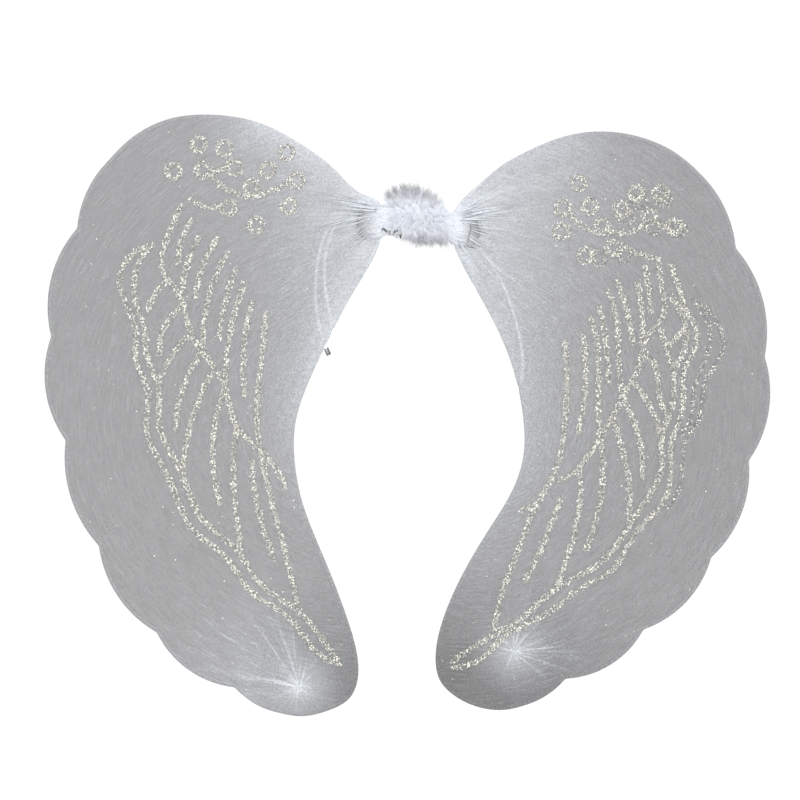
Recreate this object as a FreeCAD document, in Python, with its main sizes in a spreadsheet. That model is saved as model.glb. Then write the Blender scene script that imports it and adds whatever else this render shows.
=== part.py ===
import FreeCAD, Part
import math
import os

# Fairy wings for a costume: two bent-wire frames with a sheer stocking stretched over each,
# glitter-glue feather patterns, a feather puff over the bound middle and two elastic arm loops.
# Millimetres. X runs to the right wing, Z up, and the decorated face looks towards -Y.
# The origin is the centre of the hub, where the arm loops hold the wings to the wearer's back.

os.makedirs("parts", exist_ok=True)
doc = FreeCAD.newDocument("fairy_wings")
Vector = FreeCAD.Vector
Rotation = FreeCAD.Rotation

# ---------------------------------------------------------------- driving dimensions

sheet = doc.addObject("Spreadsheet::Sheet", "sizes")
SIZES = {
    "wire_dia": 2.0,
    "nylon_gauge": 0.2,
    "wire_play": 0.05,
    "edge_play": 0.3,
    "cusp_fillet": 3.0,
    "bead_height": 0.45,
    "bead_width": 3.7,
    "soaked_height": 0.15,
    "soaked_width": 3.0,
    "ring_outer": 6.4,
    "ring_inner": 3.1,
    "fold_x": 12.0,
    "tilt_x": 15.0,
    "twist_radius": 1.9,
    "gap": 0.3,
    "tape_radius": 5.0,
    "tape_height": 0.5,
    "neck_half": 2.4,
    "neck_run": 2.5,
    "gather_slab": 60.0,
    "gather_stop": 20.0,
    "gather_radius": 3.4,
    "gather_length": 9.0,
    "flare_radius": 6.0,
    "flare_depth": 2.4,
    "flare_x": 27.0,
    "flare_drop": 4.0,
    "tie_wall": 0.6,
    "tie_length": 2.0,
    "tie_slack": 0.1,
    "tie_overrun": 1.0,
    "tuft_base": 5.0,
    "tuft_waist": 1.8,
    "tuft_rise": 3.5,
    "tuft_knot": 3.0,
    "tuft_sink": 0.8,
    "tuft_flare": 4.6,
    "tuft_tail": 6.0,
    "tip_thread": 0.7,
    "elastic_dia": 2.2,
    "knot_x": 7.5,
    "knot_width": 3.4,
    "knot_depth": 3.0,
    "boa_core_dia": 2.0,
    "boa_pitch": 3.0,
    "boa_turns": 2.0,
    "plume_bore": 7.3,
    "plume_bore_length": 48.0,
}
for row, (alias, value) in enumerate(SIZES.items(), start=1):
    sheet.set("A%d" % row, alias)
    sheet.set("B%d" % row, str(value))
    sheet.setAlias("B%d" % row, alias)
doc.recompute()


def size(alias):
    return float(sheet.get(alias))


WIRE_R = size("wire_dia") / 2
GAUGE = size("nylon_gauge")
POCKET_HALF = WIRE_R + size("wire_play")
FACE_Y = POCKET_HALF + GAUGE
WIRE_INSET = GAUGE + size("edge_play") + WIRE_R
NECK_X = size("tilt_x") + size("twist_radius") + size("gap")
NECK_OUT = NECK_X + size("neck_run")
NECK_HALF = size("neck_half")
FILLET = size("cusp_fillet")

# Each wing's outline from the neck over the top, down the scallops and back up the inner edge,
# as (x, z) points. The two wings are bent by hand and differ a little.
WINGS = {
    "left": {
        "side": -1,
        "neck_z": 3.0,
        "top": [(-28, 12), (-39, 17), (-55, 31), (-83, 52.5), (-110, 66), (-141, 71.5),
                (-171, 69), (-199, 55), (-217, 37)],
        "cusps": [(-236, -7), (-254, -82), (-244, -154), (-221, -227), (-181, -287), (-127, -325)],
        "bulges": [9.5, 9, 8.5, 8.5, 8.5],
        "bulge_before": 4.0,
        "bulge_after": 2.5,
        "bottom": [(-99, -342), (-81, -345), (-62, -341), (-47, -332), (-41.5, -318), (-42, -303),
                   (-48, -280), (-66, -233), (-80, -197), (-85.5, -167), (-85, -143), (-78, -119),
                   (-64, -88), (-44, -50), (-26, -15), (-22.3, -2)],
        "tuft": (-82, -325),
    },
    "right": {
        "side": 1,
        "neck_z": -2.0,
        "top": [(27, 8), (39, 20.5), (56, 35), (76, 46.5), (103, 57), (127, 60), (156, 55.5),
                (177, 46), (198, 28)],
        "cusps": [(220, -21), (240, -96), (229, -168), (203, -235), (156, -285), (102, -319)],
        "bulges": [9, 8.5, 8.5, 8.5, 8.5],
        "bulge_before": 4.5,
        "bulge_after": 2.0,
        "bottom": [(78, -336), (61, -340.5), (43, -339), (27, -332), (15, -320), (12, -304),
                   (15, -285), (22, -265), (50, -214), (65, -189), (73, -164), (73, -141),
                   (64, -99), (46, -60), (26, -22), (22.3, -9)],
        "tuft": (66, -300),
    },
}

# Glitter-glue lines as (x, z) points: the long shaft of each feather and the barbs between them.
FEATHERS = {
    "left": [
        [(-184, -19), (-202, -30), (-206, -48), (-195, -78), (-195, -98), (-187, -119), (-188, -145),
         (-173, -179), (-156, -215), (-132, -236), (-113, -261), (-92, -274), (-67, -303), (-55, -308)],
        [(-184, -19), (-194, -33), (-196, -55), (-189, -78), (-188, -93), (-180, -117), (-179, -143),
         (-163, -178), (-151, -206), (-126, -230), (-107, -255), (-83, -272), (-63, -296), (-55, -308)],
        [(-164, 8), (-176, -21), (-177, -35), (-166, -52), (-157, -80), (-134, -116), (-126, -143),
         (-107, -163), (-92, -186)],
        [(-157, -2), (-163, -14), (-166, -31)],
        [(-152, -14), (-160, -33), (-163, -50)],
        [(-139, -14), (-149, -33), (-154, -55)],
        [(-132, -25), (-143, -48), (-148, -71), (-149, -93)],
        [(-127, -37), (-134, -61), (-138, -84)],
        [(-120, -45), (-129, -75), (-133, -104), (-133, -117)],
        [(-115, -59), (-120, -84), (-121, -105), (-120, -122)],
        [(-105, -66), (-110, -112), (-111, -147), (-105, -181), (-93, -227), (-83, -272)],
        [(-174, -44), (-182, -53), (-187, -64)],
        [(-162, -60), (-175, -75), (-179, -94)],
        [(-158, -81), (-170, -95), (-180, -115)],
        [(-150, -93), (-161, -114), (-168, -146)],
        [(-143, -107), (-154, -132), (-163, -177)],
        [(-134, -118), (-141, -147), (-141, -179), (-137, -197)],
        [(-125, -145), (-128, -175), (-126, -202), (-123, -229)],
        [(-115, -168), (-110, -204), (-99, -236)],
    ],
    "right": [
        [(175, -55), (188, -68), (193, -84), (184, -107), (183, -133), (175, -157), (175, -173),
         (168, -199), (152, -216), (136, -242), (111, -257), (92, -272), (62, -288), (42, -306),
         (24, -311)],
        [(175, -55), (184, -71), (185, -89), (178, -104), (177, -126), (169, -151), (168, -176),
         (155, -199), (141, -221), (123, -241), (96, -256), (75, -274), (48, -291), (24, -307)],
        [(166, -28), (169, -50), (169, -69), (158, -83), (154, -99), (141, -125), (134, -138),
         (119, -162), (107, -177), (93, -182)],
        [(102, -86), (103, -119), (101, -147), (94, -177), (82, -199), (71, -226), (55, -271),
         (53, -285)],
        [(82, -198), (71, -203)],
        [(114, -82), (116, -116), (111, -148)],
        [(120, -69), (125, -105), (125, -140), (128, -175), (123, -209), (116, -229)],
        [(126, -62), (130, -88), (132, -113)],
        [(132, -51), (138, -76), (141, -119), (150, -143), (155, -179)],
        [(138, -44), (145, -66), (149, -87)],
        [(152, -46), (155, -69), (155, -86)],
        [(157, -34), (160, -55), (161, -65)],
        [(175, -32), (182, -53), (184, -59)],
        [(134, -138), (141, -159), (146, -185), (146, -211)],
        [(150, -115), (162, -133), (168, -151)],
        [(156, -93), (166, -112), (168, -127), (172, -135)],
        [(168, -78), (172, -91), (177, -105)],
        [(183, -78), (173, -89)],
        [(185, -92), (178, -104)],
        [(111, -173), (112, -195), (106, -226), (96, -255)],
        [(98, -195), (91, -215), (74, -251)],
    ],
}

# Blossom rings of glitter glue by their centres, and the garland and stalks that string them.
RINGS = {
    "left": [(-152, 51), (-134, 48), (-91, 45), (-169, 32), (-149, 33), (-127, 35), (-104, 33),
             (-115, 21), (-84, 26), (-89, 8), (-131, 7), (-112, -5)],
    "right": [(111, 24), (100, 7), (119, 8), (141, 6), (151, 17), (168, 17), (160, 1), (177, -6),
              (127, -6), (99, -9), (116, -26), (135, -21)],
}
STALKS = {
    "left": [
        [(-144, 33), (-136, 22), (-118, 15), (-106, 17), (-90, 24)],
        [(-143, 30), (-134, 35)],
        [(-157, 12), (-147, 8), (-137, 8)],
    ],
    "right": [
        [(105, 4), (116, -7), (133, -10), (147, -10), (156, -3)],
        [(166, -5), (171, -6)],
        [(141, -19), (150, -24), (161, -27.5)],
    ],
}

# Lines where wet glue soaked through the right stocking on to its back layer.
SOAKED = [
    [(190, -57), (208, -75), (211, -91), (198, -115), (196, -134), (184, -158), (183, -176),
     (173, -200)],
    [(193, -61), (202, -80), (198, -101), (191, -118), (190, -133), (181, -150)],
]
SOAKED_RINGS = [(144, 1), (154, 12), (170, 13), (163, -6), (181, -8), (125, -28), (143, -25)]

# Arm loops from knot to knot as (x, y, z) route points, hanging behind the wings.
LOOPS = {
    "left": [(-9, 9.5, 2), (-29, 12.5, 11), (-51, 15, 11), (-67, 16, -11), (-72.5, 15, -46),
             (-69.5, 17, -76), (-60, 27, -101), (-56.5, 45, -98), (-61, 52, -72), (-67, 47, -41),
             (-64, 38, -13), (-50, 29, 10), (-28, 18.5, 12), (-8.5, 10.5, 2.5)],
    "right": [(9, 9.5, -1), (25, 12.5, -8), (43, 15, -18), (61, 16, -46), (72, 17, -82),
              (74.5, 21, -109), (66, 31, -127), (51, 39, -124), (42.5, 42, -96), (41, 38, -60),
              (38, 29, -30), (24, 18, -9), (8.5, 10.5, -1.5)],
}

# ---------------------------------------------------------------- outline geometry


def unit(x, z):
    length = math.hypot(x, z)
    return (x / length, z / length)


def bulged_circle(start, end, bulge, side):
    """Circle through two outline points, bulging outwards by the given height."""
    chord = math.hypot(end[0] - start[0], end[1] - start[1])
    radius = (chord * chord / 4 + bulge * bulge) / (2 * bulge)
    along = unit(end[0] - start[0], end[1] - start[1])
    outward = (-along[1] * side, along[0] * side)
    middle = ((start[0] + end[0]) / 2, (start[1] + end[1]) / 2)
    reach = radius - bulge
    return (middle[0] - outward[0] * reach, middle[1] - outward[1] * reach), radius


def fillet_centre(first, second, cusp, radius):
    """Centre of the small concave arc that touches two neighbouring scallops outside the wing."""
    (c1, r1), (c2, r2) = first, second
    r1 += radius
    r2 += radius
    gap = math.hypot(c2[0] - c1[0], c2[1] - c1[1])
    along = (gap * gap + r1 * r1 - r2 * r2) / (2 * gap)
    across = math.sqrt(r1 * r1 - along * along)
    d = unit(c2[0] - c1[0], c2[1] - c1[1])
    picks = []
    for sign in (1, -1):
        x = c1[0] + d[0] * along - d[1] * across * sign
        z = c1[1] + d[1] * along + d[0] * across * sign
        picks.append((x, z))
    return min(picks, key=lambda p: math.hypot(p[0] - cusp[0], p[1] - cusp[1]))


def towards(centre, target, distance):
    d = unit(target[0] - centre[0], target[1] - centre[1])
    return (centre[0] + d[0] * distance, centre[1] + d[1] * distance)


def flat(point):
    """A sketch on the XZ plane has X across and Z up."""
    return Vector(point[0], point[1], 0)


def arc_about(centre, start, end):
    """Arc from start to end about a centre, the short way round."""
    radius = math.hypot(start[0] - centre[0], start[1] - centre[1])
    middle = towards(centre, ((start[0] + end[0]) / 2, (start[1] + end[1]) / 2), radius)
    return Part.Arc(flat(start), flat(middle), flat(end))


def tangent_at(centre, point, following):
    """Unit direction of travel round a centre at a point, on the way to the following point."""
    d = unit(point[0] - centre[0], point[1] - centre[1])
    way = (-d[1], d[0])
    if way[0] * (following[0] - point[0]) + way[1] * (following[1] - point[1]) < 0:
        way = (-way[0], -way[1])
    return way


def moved_in(points, inset, side):
    """Spline points moved square to the line, towards the inside of the wing."""
    moved = []
    for before, here, after in zip(points, points[1:], points[2:]):
        along = unit(after[0] - before[0], after[1] - before[1])
        moved.append((here[0] + along[1] * side * inset, here[1] - along[0] * side * inset))
    return moved


def spline(points, first_way, last_way):
    """Smooth curve through points that leaves and arrives in given directions."""
    curve = Part.BSplineCurve()
    curve.interpolate(Points=[flat(p) for p in points], InitialTangent=flat(first_way),
                      FinalTangent=flat(last_way), Scale=False)
    return curve


def free_spline(points):
    curve = Part.BSplineCurve()
    curve.interpolate(Points=[flat(p) for p in points])
    return curve


def wing_curves(wing, inset):
    """The wing's outline, or a line inside it, from the top of the neck round to its bottom."""
    side = wing["side"]
    corners = [wing["top"][-1]] + wing["cusps"] + [wing["bottom"][0]]
    bulges = [wing["bulge_before"]] + wing["bulges"] + [wing["bulge_after"]]
    circles = []
    for start, end, bulge in zip(corners, corners[1:], bulges):
        centre, radius = bulged_circle(start, end, bulge, side)
        circles.append((centre, radius))
    touches = []
    fillets = []
    for first, second, cusp in zip(circles, circles[1:], wing["cusps"]):
        centre = fillet_centre(first, second, cusp, FILLET)
        fillets.append(centre)
        touches.append((towards(centre, first[0], FILLET + inset),
                        towards(centre, second[0], FILLET + inset)))

    first_circle = circles[0]
    last_circle = circles[-1]
    scallop_start = towards(first_circle[0], corners[0], first_circle[1] - inset)
    scallop_end = towards(last_circle[0], corners[-1], last_circle[1] - inset)
    upper = (side * NECK_OUT, wing["neck_z"] + NECK_HALF)
    lower = (side * NECK_OUT, wing["neck_z"] - NECK_HALF)
    upper_in = (upper[0], upper[1] - inset)
    lower_in = (lower[0], lower[1] + inset)

    top = [upper] + wing["top"]
    bottom = wing["bottom"] + [lower]
    arrive = tangent_at(first_circle[0], scallop_start, wing["cusps"][0])
    leave = tangent_at(last_circle[0], scallop_end, wing["bottom"][1])

    curves = [Part.LineSegment(flat((side * NECK_X, upper_in[1])), flat(upper_in))]
    curves.append(spline([upper_in] + moved_in(top, inset, side) + [scallop_start],
                         (side, 0), arrive))
    begin = scallop_start
    for (centre, _), fillet, (into, out) in zip(circles, fillets, touches):
        curves.append(arc_about(centre, begin, into))
        curves.append(arc_about(fillet, into, out))
        begin = out
    curves.append(arc_about(last_circle[0], begin, scallop_end))
    curves.append(spline([scallop_end] + moved_in(bottom, inset, side) + [lower_in],
                         leave, (-side, 0)))
    curves.append(Part.LineSegment(flat(lower_in), flat((side * NECK_X, lower_in[1]))))
    return curves


def ribbon(points, width):
    """Closed outline of a glue line: two sides square to the route and a round end each way."""
    half = width / 2
    ways = [unit(b[0] - a[0], b[1] - a[1]) for a, b in zip(points, points[1:])]
    norms = [ways[0]]
    for a, b in zip(ways, ways[1:]):
        norms.append(unit(a[0] + b[0], a[1] + b[1]))
    norms.append(ways[-1])
    left = [(p[0] - n[1] * half, p[1] + n[0] * half) for p, n in zip(points, norms)]
    right = [(p[0] + n[1] * half, p[1] - n[0] * half) for p, n in zip(points, norms)]
    start_tip = (points[0][0] - ways[0][0] * half, points[0][1] - ways[0][1] * half)
    end_tip = (points[-1][0] + ways[-1][0] * half, points[-1][1] + ways[-1][1] * half)
    if len(points) == 2:
        sides = [Part.LineSegment(flat(left[0]), flat(left[1])),
                 Part.LineSegment(flat(right[1]), flat(right[0]))]
    else:
        sides = [free_spline(left), free_spline(right[::-1])]
    return [sides[0],
            Part.Arc(flat(left[-1]), flat(end_tip), flat(right[-1])),
            sides[1],
            Part.Arc(flat(right[0]), flat(start_tip), flat(left[0]))]


# ---------------------------------------------------------------- document helpers


def front_plane(body):
    for feature in body.Origin.OriginFeatures:
        if feature.Role == "XZ_Plane":
            return feature
    raise RuntimeError("no XZ plane")


def front_sketch(body, name, curves):
    """Sketch seen from the decorated side."""
    sketch = body.newObject("Sketcher::SketchObject", name)
    sketch.AttachmentSupport = (front_plane(body), [""])
    sketch.MapMode = "FlatFace"
    sketch.addGeometry(curves, False)
    return sketch


def solid_of(kind, name, **expressions):
    item = doc.addObject("Part::" + kind, name)
    for prop, formula in expressions.items():
        item.setExpression(prop, formula)
    return item


def place(item, x, y, z, rotation=None):
    item.Placement = FreeCAD.Placement(Vector(x, y, z), rotation or Rotation())
    return item


def join(name, shapes):
    fusion = doc.addObject("Part::MultiFuse", name)
    fusion.Shapes = shapes
    return fusion


def cut(name, base, tool):
    item = doc.addObject("Part::Cut", name)
    item.Base = base
    item.Tool = tool
    return item


TO_X = Rotation(Vector(0, 1, 0), 90)
TO_BACK = Rotation(Vector(1, 0, 0), -90)
nodes = []


def node(item, label):
    item.Label = label
    nodes.append(item)
    return item


# ---------------------------------------------------------------- wings


def build_stocking(name, wing):
    """A flat nylon bag: two layers a wire's thickness apart, joined round the rim, neck open."""
    side = wing["side"]
    body = doc.addObject("PartDesign::Body", name)
    outer = wing_curves(wing, 0)
    upper = (side * NECK_X, wing["neck_z"] + NECK_HALF)
    lower = (side * NECK_X, wing["neck_z"] - NECK_HALF)
    outline = front_sketch(body, name + "_outline",
                           outer + [Part.LineSegment(flat(lower), flat(upper))])
    pad = body.newObject("PartDesign::Pad", name + "_bag")
    pad.Profile = outline
    pad.Midplane = True
    pad.setExpression("Length", "sizes.wire_dia + 2 * sizes.wire_play + 2 * sizes.nylon_gauge")
    doc.recompute()

    inner = wing_curves(wing, GAUGE)
    mouth_x = side * (NECK_X - 1)
    high = wing["neck_z"] + NECK_HALF - GAUGE
    low = wing["neck_z"] - NECK_HALF + GAUGE
    inner[0] = Part.LineSegment(flat((mouth_x, high)), flat((side * NECK_OUT, high)))
    inner[-1] = Part.LineSegment(flat((side * NECK_OUT, low)), flat((mouth_x, low)))
    mouth = Part.LineSegment(flat((mouth_x, low)), flat((mouth_x, high)))
    inside = front_sketch(body, name + "_inside", inner + [mouth])
    pocket = body.newObject("PartDesign::Pocket", name + "_pocket")
    pocket.Profile = inside
    pocket.Midplane = True
    pocket.setExpression("Length", "sizes.wire_dia + 2 * sizes.wire_play")
    doc.recompute()
    return body


def build_wire(name, wing):
    side = wing["side"]
    path = doc.addObject("Sketcher::SketchObject", name + "_path")
    path.Placement = FreeCAD.Placement(Vector(0, 0, 0), Rotation(Vector(1, 0, 0), 90))
    path.addGeometry(wing_curves(wing, WIRE_INSET), False)
    profile = solid_of("Circle", name + "_section", Radius="sizes.wire_dia / 2")
    place(profile, side * NECK_X, 0, wing["neck_z"] + NECK_HALF - WIRE_INSET, TO_X)
    doc.recompute()
    wire = doc.addObject("Part::Sweep", name)
    wire.Sections = [profile]
    wire.Spine = (path, ["Edge%d" % (k + 1) for k in range(len(path.Shape.Edges))])
    wire.Solid = True
    wire.Frenet = False
    return wire


def glue_face(lines, rings, width):
    """All the glue lines and rings of one pattern as flat faces, merged where they cross."""
    faces = []
    for points in lines:
        wire = Part.Wire([curve.toShape() for curve in ribbon(points, width)])
        faces.append(Part.Face(wire))
    for x, z in rings:
        centre = Vector(x, z, 0)
        rims = []
        for radius in (size("ring_outer"), size("ring_inner")):
            rims.append(Part.Face(Part.Wire(Part.Circle(centre, Vector(0, 0, 1), radius).toShape())))
        faces.append(rims[0].cut(rims[1]).Faces[0])
    merged = Part.makeCompound(faces[0].multiFuse(faces[1:]).Faces)
    merged.sewShape()
    return merged.removeSplitter()


def build_glitter(name, lines, rings, face, height, width):
    """Raised glue lines and rings on the front or back face of a wing."""
    toward = "-" if face == "front" else ""
    level = "sizes.wire_dia / 2 + sizes.wire_play + sizes.nylon_gauge"
    pattern = doc.addObject("Part::Feature", name + "_pattern")
    pattern.Shape = glue_face(lines, rings, size(width))
    place(pattern, 0, 0, 0, Rotation(Vector(1, 0, 0), 90))
    pattern.setExpression("Placement.Base.y", "%s(%s)" % (toward, level))
    beads = doc.addObject("Part::Extrusion", name)
    beads.Base = pattern
    beads.DirMode = "Custom"
    beads.Dir = Vector(0, -1 if face == "front" else 1, 0)
    beads.Solid = True
    beads.setExpression("LengthFwd", "sizes." + height)
    return beads


def build_gather(name, wing):
    """Bunched pleats on both faces of the neck."""
    side = wing["side"]
    z = wing["neck_z"]
    bunch = solid_of("Ellipsoid", name + "_bunch", Radius1="sizes.gather_radius",
                     Radius2="sizes.gather_length", Radius3="sizes.gather_radius")
    place(bunch, side * NECK_OUT, 0, z)
    flare = solid_of("Ellipsoid", name + "_flare", Radius1="sizes.flare_radius",
                     Radius2="sizes.flare_radius", Radius3="sizes.flare_depth")
    place(flare, side * size("flare_x"), 0, z - size("flare_drop"))
    pleats = join(name + "_pleats", [bunch, flare])
    slab = doc.addObject("Part::Box", name + "_slab")
    slab.setExpression("Length", "sizes.gather_slab")
    slab.setExpression("Height", "sizes.gather_slab")
    slab.setExpression("Width", "sizes.wire_dia + 2 * sizes.wire_play + 2 * sizes.nylon_gauge")
    place(slab, side * NECK_OUT - size("gather_slab") / 2, -FACE_Y, z - size("gather_slab") / 2)
    stop = doc.addObject("Part::Box", name + "_stop")
    stop.setExpression("Length", "sizes.gather_stop")
    stop.setExpression("Width", "sizes.gather_stop")
    stop.setExpression("Height", "sizes.gather_stop")
    reach = size("gather_stop")
    place(stop, side * NECK_X - (reach if side > 0 else 0), -reach / 2, z - reach / 2)
    return cut(name, pleats, join(name + "_room", [slab, stop]))


def build_tie(name, wing):
    """Thread wound round the neck."""
    side = wing["side"]
    start = side * NECK_X - (size("tie_length") if side < 0 else 0)
    outer = solid_of("Cylinder", name + "_outer", Height="sizes.tie_length",
                     Radius="sizes.gather_radius + sizes.tie_slack + sizes.tie_wall")
    inner = solid_of("Cylinder", name + "_inner",
                     Height="sizes.tie_length + 2 * sizes.tie_overrun",
                     Radius="sizes.gather_radius + sizes.tie_slack")
    place(outer, start, 0, wing["neck_z"], TO_X)
    place(inner, start - size("tie_overrun"), 0, wing["neck_z"], TO_X)
    return cut(name, outer, inner)


def build_tuft(name, wing):
    """The stocking's closed end: pleats drawn to a knot on the back, with a cut tail."""
    x, z = wing["tuft"]
    base = solid_of("Cone", name + "_pleats", Radius1="sizes.tuft_base",
                    Radius2="sizes.tuft_waist", Height="sizes.tuft_rise")
    knot = solid_of("Sphere", name + "_knot", Radius="sizes.tuft_knot")
    tail = solid_of("Cone", name + "_tail", Radius1="sizes.tuft_waist",
                    Radius2="sizes.tuft_flare", Height="sizes.tuft_tail")
    waist_y = FACE_Y + size("tuft_rise")
    knot_y = waist_y + size("tuft_knot") * size("tuft_sink")
    place(base, x, FACE_Y, z, TO_BACK)
    place(knot, x, knot_y, z)
    place(tail, x, knot_y + size("tuft_knot") / 2, z, TO_BACK)
    return join(name, [base, knot, tail])


def build_tip_tie(name, wing):
    x, z = wing["tuft"]
    thread = solid_of("Torus", name, Radius2="sizes.tip_thread",
                      Radius1="sizes.tuft_waist + 2 * sizes.tip_thread")
    place(thread, x, FACE_Y + size("tuft_rise"), z, TO_BACK)
    return thread


def build_twist(name, wing):
    """The frame's two wire ends twisted together, between the hub and the stocking's neck."""
    side = wing["side"]
    z = wing["neck_z"]
    inner = solid_of("Sphere", name + "_inner", Radius="sizes.twist_radius")
    outer = solid_of("Sphere", name + "_outer", Radius="sizes.twist_radius")
    shank = solid_of("Cylinder", name + "_shank", Radius="sizes.twist_radius",
                     Height="sizes.tilt_x - sizes.fold_x")
    place(inner, side * size("fold_x"), 0, z)
    place(outer, side * size("tilt_x"), 0, z)
    place(shank, min(side * size("fold_x"), side * size("tilt_x")), 0, z, TO_X)
    return join(name, [inner, shank, outer])


for hand, wing in WINGS.items():
    node(build_wire(hand + "_wire", wing), hand + "_frame_wire")
    node(build_stocking(hand + "_bag", wing), hand + "_stocking")
    node(build_gather(hand + "_gather", wing), hand + "_neck_gather")
    node(build_tie(hand + "_tie", wing), hand + "_neck_tie")
    node(build_tuft(hand + "_tuft", wing), hand + "_tip_tuft")
    node(build_tip_tie(hand + "_tip_thread", wing), hand + "_tip_tie")
    node(build_twist(hand + "_twist", wing), hand + "_root_twist")
    node(build_glitter(hand + "_feathers", FEATHERS[hand], [], "front", "bead_height", "bead_width"),
         hand + "_glitter_feathers")
    node(build_glitter(hand + "_blossoms", STALKS[hand], RINGS[hand], "front", "bead_height",
                       "bead_width"), hand + "_glitter_rings")
node(build_glitter("soaked", SOAKED, SOAKED_RINGS, "back", "soaked_height", "soaked_width"),
     "right_soaked_glitter")

# ---------------------------------------------------------------- hub

TAPE_Z = size("tape_height")
TAPE_HALF = size("fold_x") - size("twist_radius") - size("gap")
tape = solid_of("Cylinder", "tape", Radius="sizes.tape_radius",
                Height="2 * (sizes.fold_x - sizes.twist_radius - sizes.gap)")
place(tape, -TAPE_HALF, 0, TAPE_Z, TO_X)
node(tape, "binding_tape")

helix = solid_of("Helix", "boa_path", Pitch="sizes.boa_pitch",
                 Height="sizes.boa_pitch * sizes.boa_turns",
                 Radius="sizes.tape_radius + sizes.boa_core_dia / 2 + sizes.wire_play")
BOA_RADIUS = size("tape_radius") + size("boa_core_dia") / 2 + size("wire_play")
BOA_START = -size("boa_pitch") * size("boa_turns") / 2
place(helix, BOA_START, 0, TAPE_Z, TO_X)
boa_section = solid_of("Circle", "boa_section", Radius="sizes.boa_core_dia / 2")
place(boa_section, BOA_START, 0, TAPE_Z - BOA_RADIUS, Rotation(Vector(1, 0, 0), 90))
doc.recompute()
boa = doc.addObject("Part::Sweep", "boa_core")
boa.Sections = [boa_section]
boa.Spine = (helix, ["Edge1"])
boa.Solid = True
boa.Frenet = True
node(boa, "marabou_cord")

# The feather puff as overlapping lobes: centre, then half sizes along X, Y and Z.
LOBES = {
    "middle": ((0, -1, 1), (9, 14, 20)),
    "upper_left": ((-8, -2, 16), (13, 10, 8.5)),
    "upper_right": ((6, -2, 13), (9, 9, 8)),
    "lower": ((2, -2, -13), (14, 9, 8.5)),
}
lobes = []
for name, (centre, (half_x, half_y, half_z)) in LOBES.items():
    lobe = doc.addObject("Part::Ellipsoid", "lobe_" + name)
    lobe.Radius1 = half_z
    lobe.Radius2 = half_x
    lobe.Radius3 = half_y
    lobes.append(place(lobe, *centre))
bore = solid_of("Cylinder", "plume_bore", Radius="sizes.plume_bore",
                Height="sizes.plume_bore_length")
place(bore, -size("plume_bore_length") / 2, 0, TAPE_Z, TO_X)
node(cut("plume", join("plume_lobes", lobes), bore), "marabou_plume")

# ---------------------------------------------------------------- arm loops


def rounded_route(points):
    """Straight runs joined by arcs that touch both, as edges, with each arc's radius."""
    edges = []
    radii = []
    start = points[0]
    for before, corner, after in zip(points, points[1:], points[2:]):
        back = before - corner
        on = after - corner
        turn = math.pi - back.getAngle(on)
        cut_back = 0.45 * min(back.Length, on.Length)
        radius = cut_back / math.tan(turn / 2)
        back.normalize()
        on.normalize()
        enter = corner + back * cut_back
        leave = corner + on * cut_back
        inward = back + on
        inward.normalize()
        reach = radius / math.cos(turn / 2)
        middle = corner + inward * (reach - radius)
        edges.append(Part.LineSegment(start, enter).toShape())
        edges.append(Part.Arc(enter, middle, leave).toShape())
        radii.append(radius)
        start = leave
    edges.append(Part.LineSegment(start, points[-1]).toShape())
    return edges, radii


def build_knot(name, side):
    """Elastic tied round the tape, with the knot on the wearer's side."""
    turn = solid_of("Torus", name + "_turn", Radius2="sizes.elastic_dia / 2",
                    Radius1="sizes.tape_radius + sizes.elastic_dia / 2")
    place(turn, side * size("knot_x"), 0, TAPE_Z, TO_X)
    lump = solid_of("Ellipsoid", name + "_lump", Radius1="sizes.knot_depth",
                    Radius2="sizes.knot_width", Radius3="sizes.knot_depth")
    lump_y = size("tape_radius") + size("elastic_dia") / 2 + size("knot_depth")
    place(lump, side * size("knot_x"), lump_y, TAPE_Z)
    return join(name, [turn, lump])


tubes = []
for hand, route in LOOPS.items():
    points = [Vector(*p) for p in route]
    edges, radii = rounded_route(points)
    path = doc.addObject("Part::Feature", hand + "_loop_path")
    path.Shape = Part.Wire(edges)
    section = solid_of("Circle", hand + "_loop_section", Radius="sizes.elastic_dia / 2")
    facing = Rotation(Vector(0, 0, 1), points[1] - points[0])
    place(section, points[0].x, points[0].y, points[0].z, facing)
    doc.recompute()
    tube = doc.addObject("Part::Sweep", hand + "_loop")
    tube.Sections = [section]
    tube.Spine = (path, ["Edge%d" % (k + 1) for k in range(len(edges))])
    tube.Solid = True
    tube.Frenet = False
    tube.Transition = "Right corner"
    tubes.append((hand, path, tube, radii))
    node(tube, hand + "_elastic_loop")
    node(build_knot(hand + "_knot", WINGS[hand]["side"]), hand + "_elastic_knot")

# ---------------------------------------------------------------- checks and export

doc.recompute()
for hand, path, tube, radii in tubes:
    section_area = math.pi * (size("elastic_dia") / 2) ** 2
    expected = section_area * path.Shape.Length
    print("%s loop: length %.0f mm, least radius %.1f mm, volume ratio %.4f"
          % (hand, path.Shape.Length, min(radii), tube.Shape.Volume / expected))
    print("  radii", " ".join("%.0f" % r for r in radii))
for item in doc.Objects:
    if "Invalid" in item.State or "Error" in item.State:
        raise RuntimeError("%s did not build: %s" % (item.Label, item.State))
for item in nodes:
    shape = item.Shape
    if shape.isNull() or not shape.isValid() or not shape.Solids:
        raise RuntimeError(item.Label + " is not a valid solid")
    shape.exportStep("parts/%s.step" % item.Label)
    box = shape.optimalBoundingBox(False)
    print("%-24s solids %d volume %9.1f  x %.1f..%.1f y %.1f..%.1f z %.1f..%.1f"
          % (item.Label, len(shape.Solids), shape.Volume, box.XMin, box.XMax, box.YMin, box.YMax,
             box.ZMin, box.ZMax))
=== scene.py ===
import math

import bpy
import numpy as np
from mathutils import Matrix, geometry, kdtree


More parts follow.
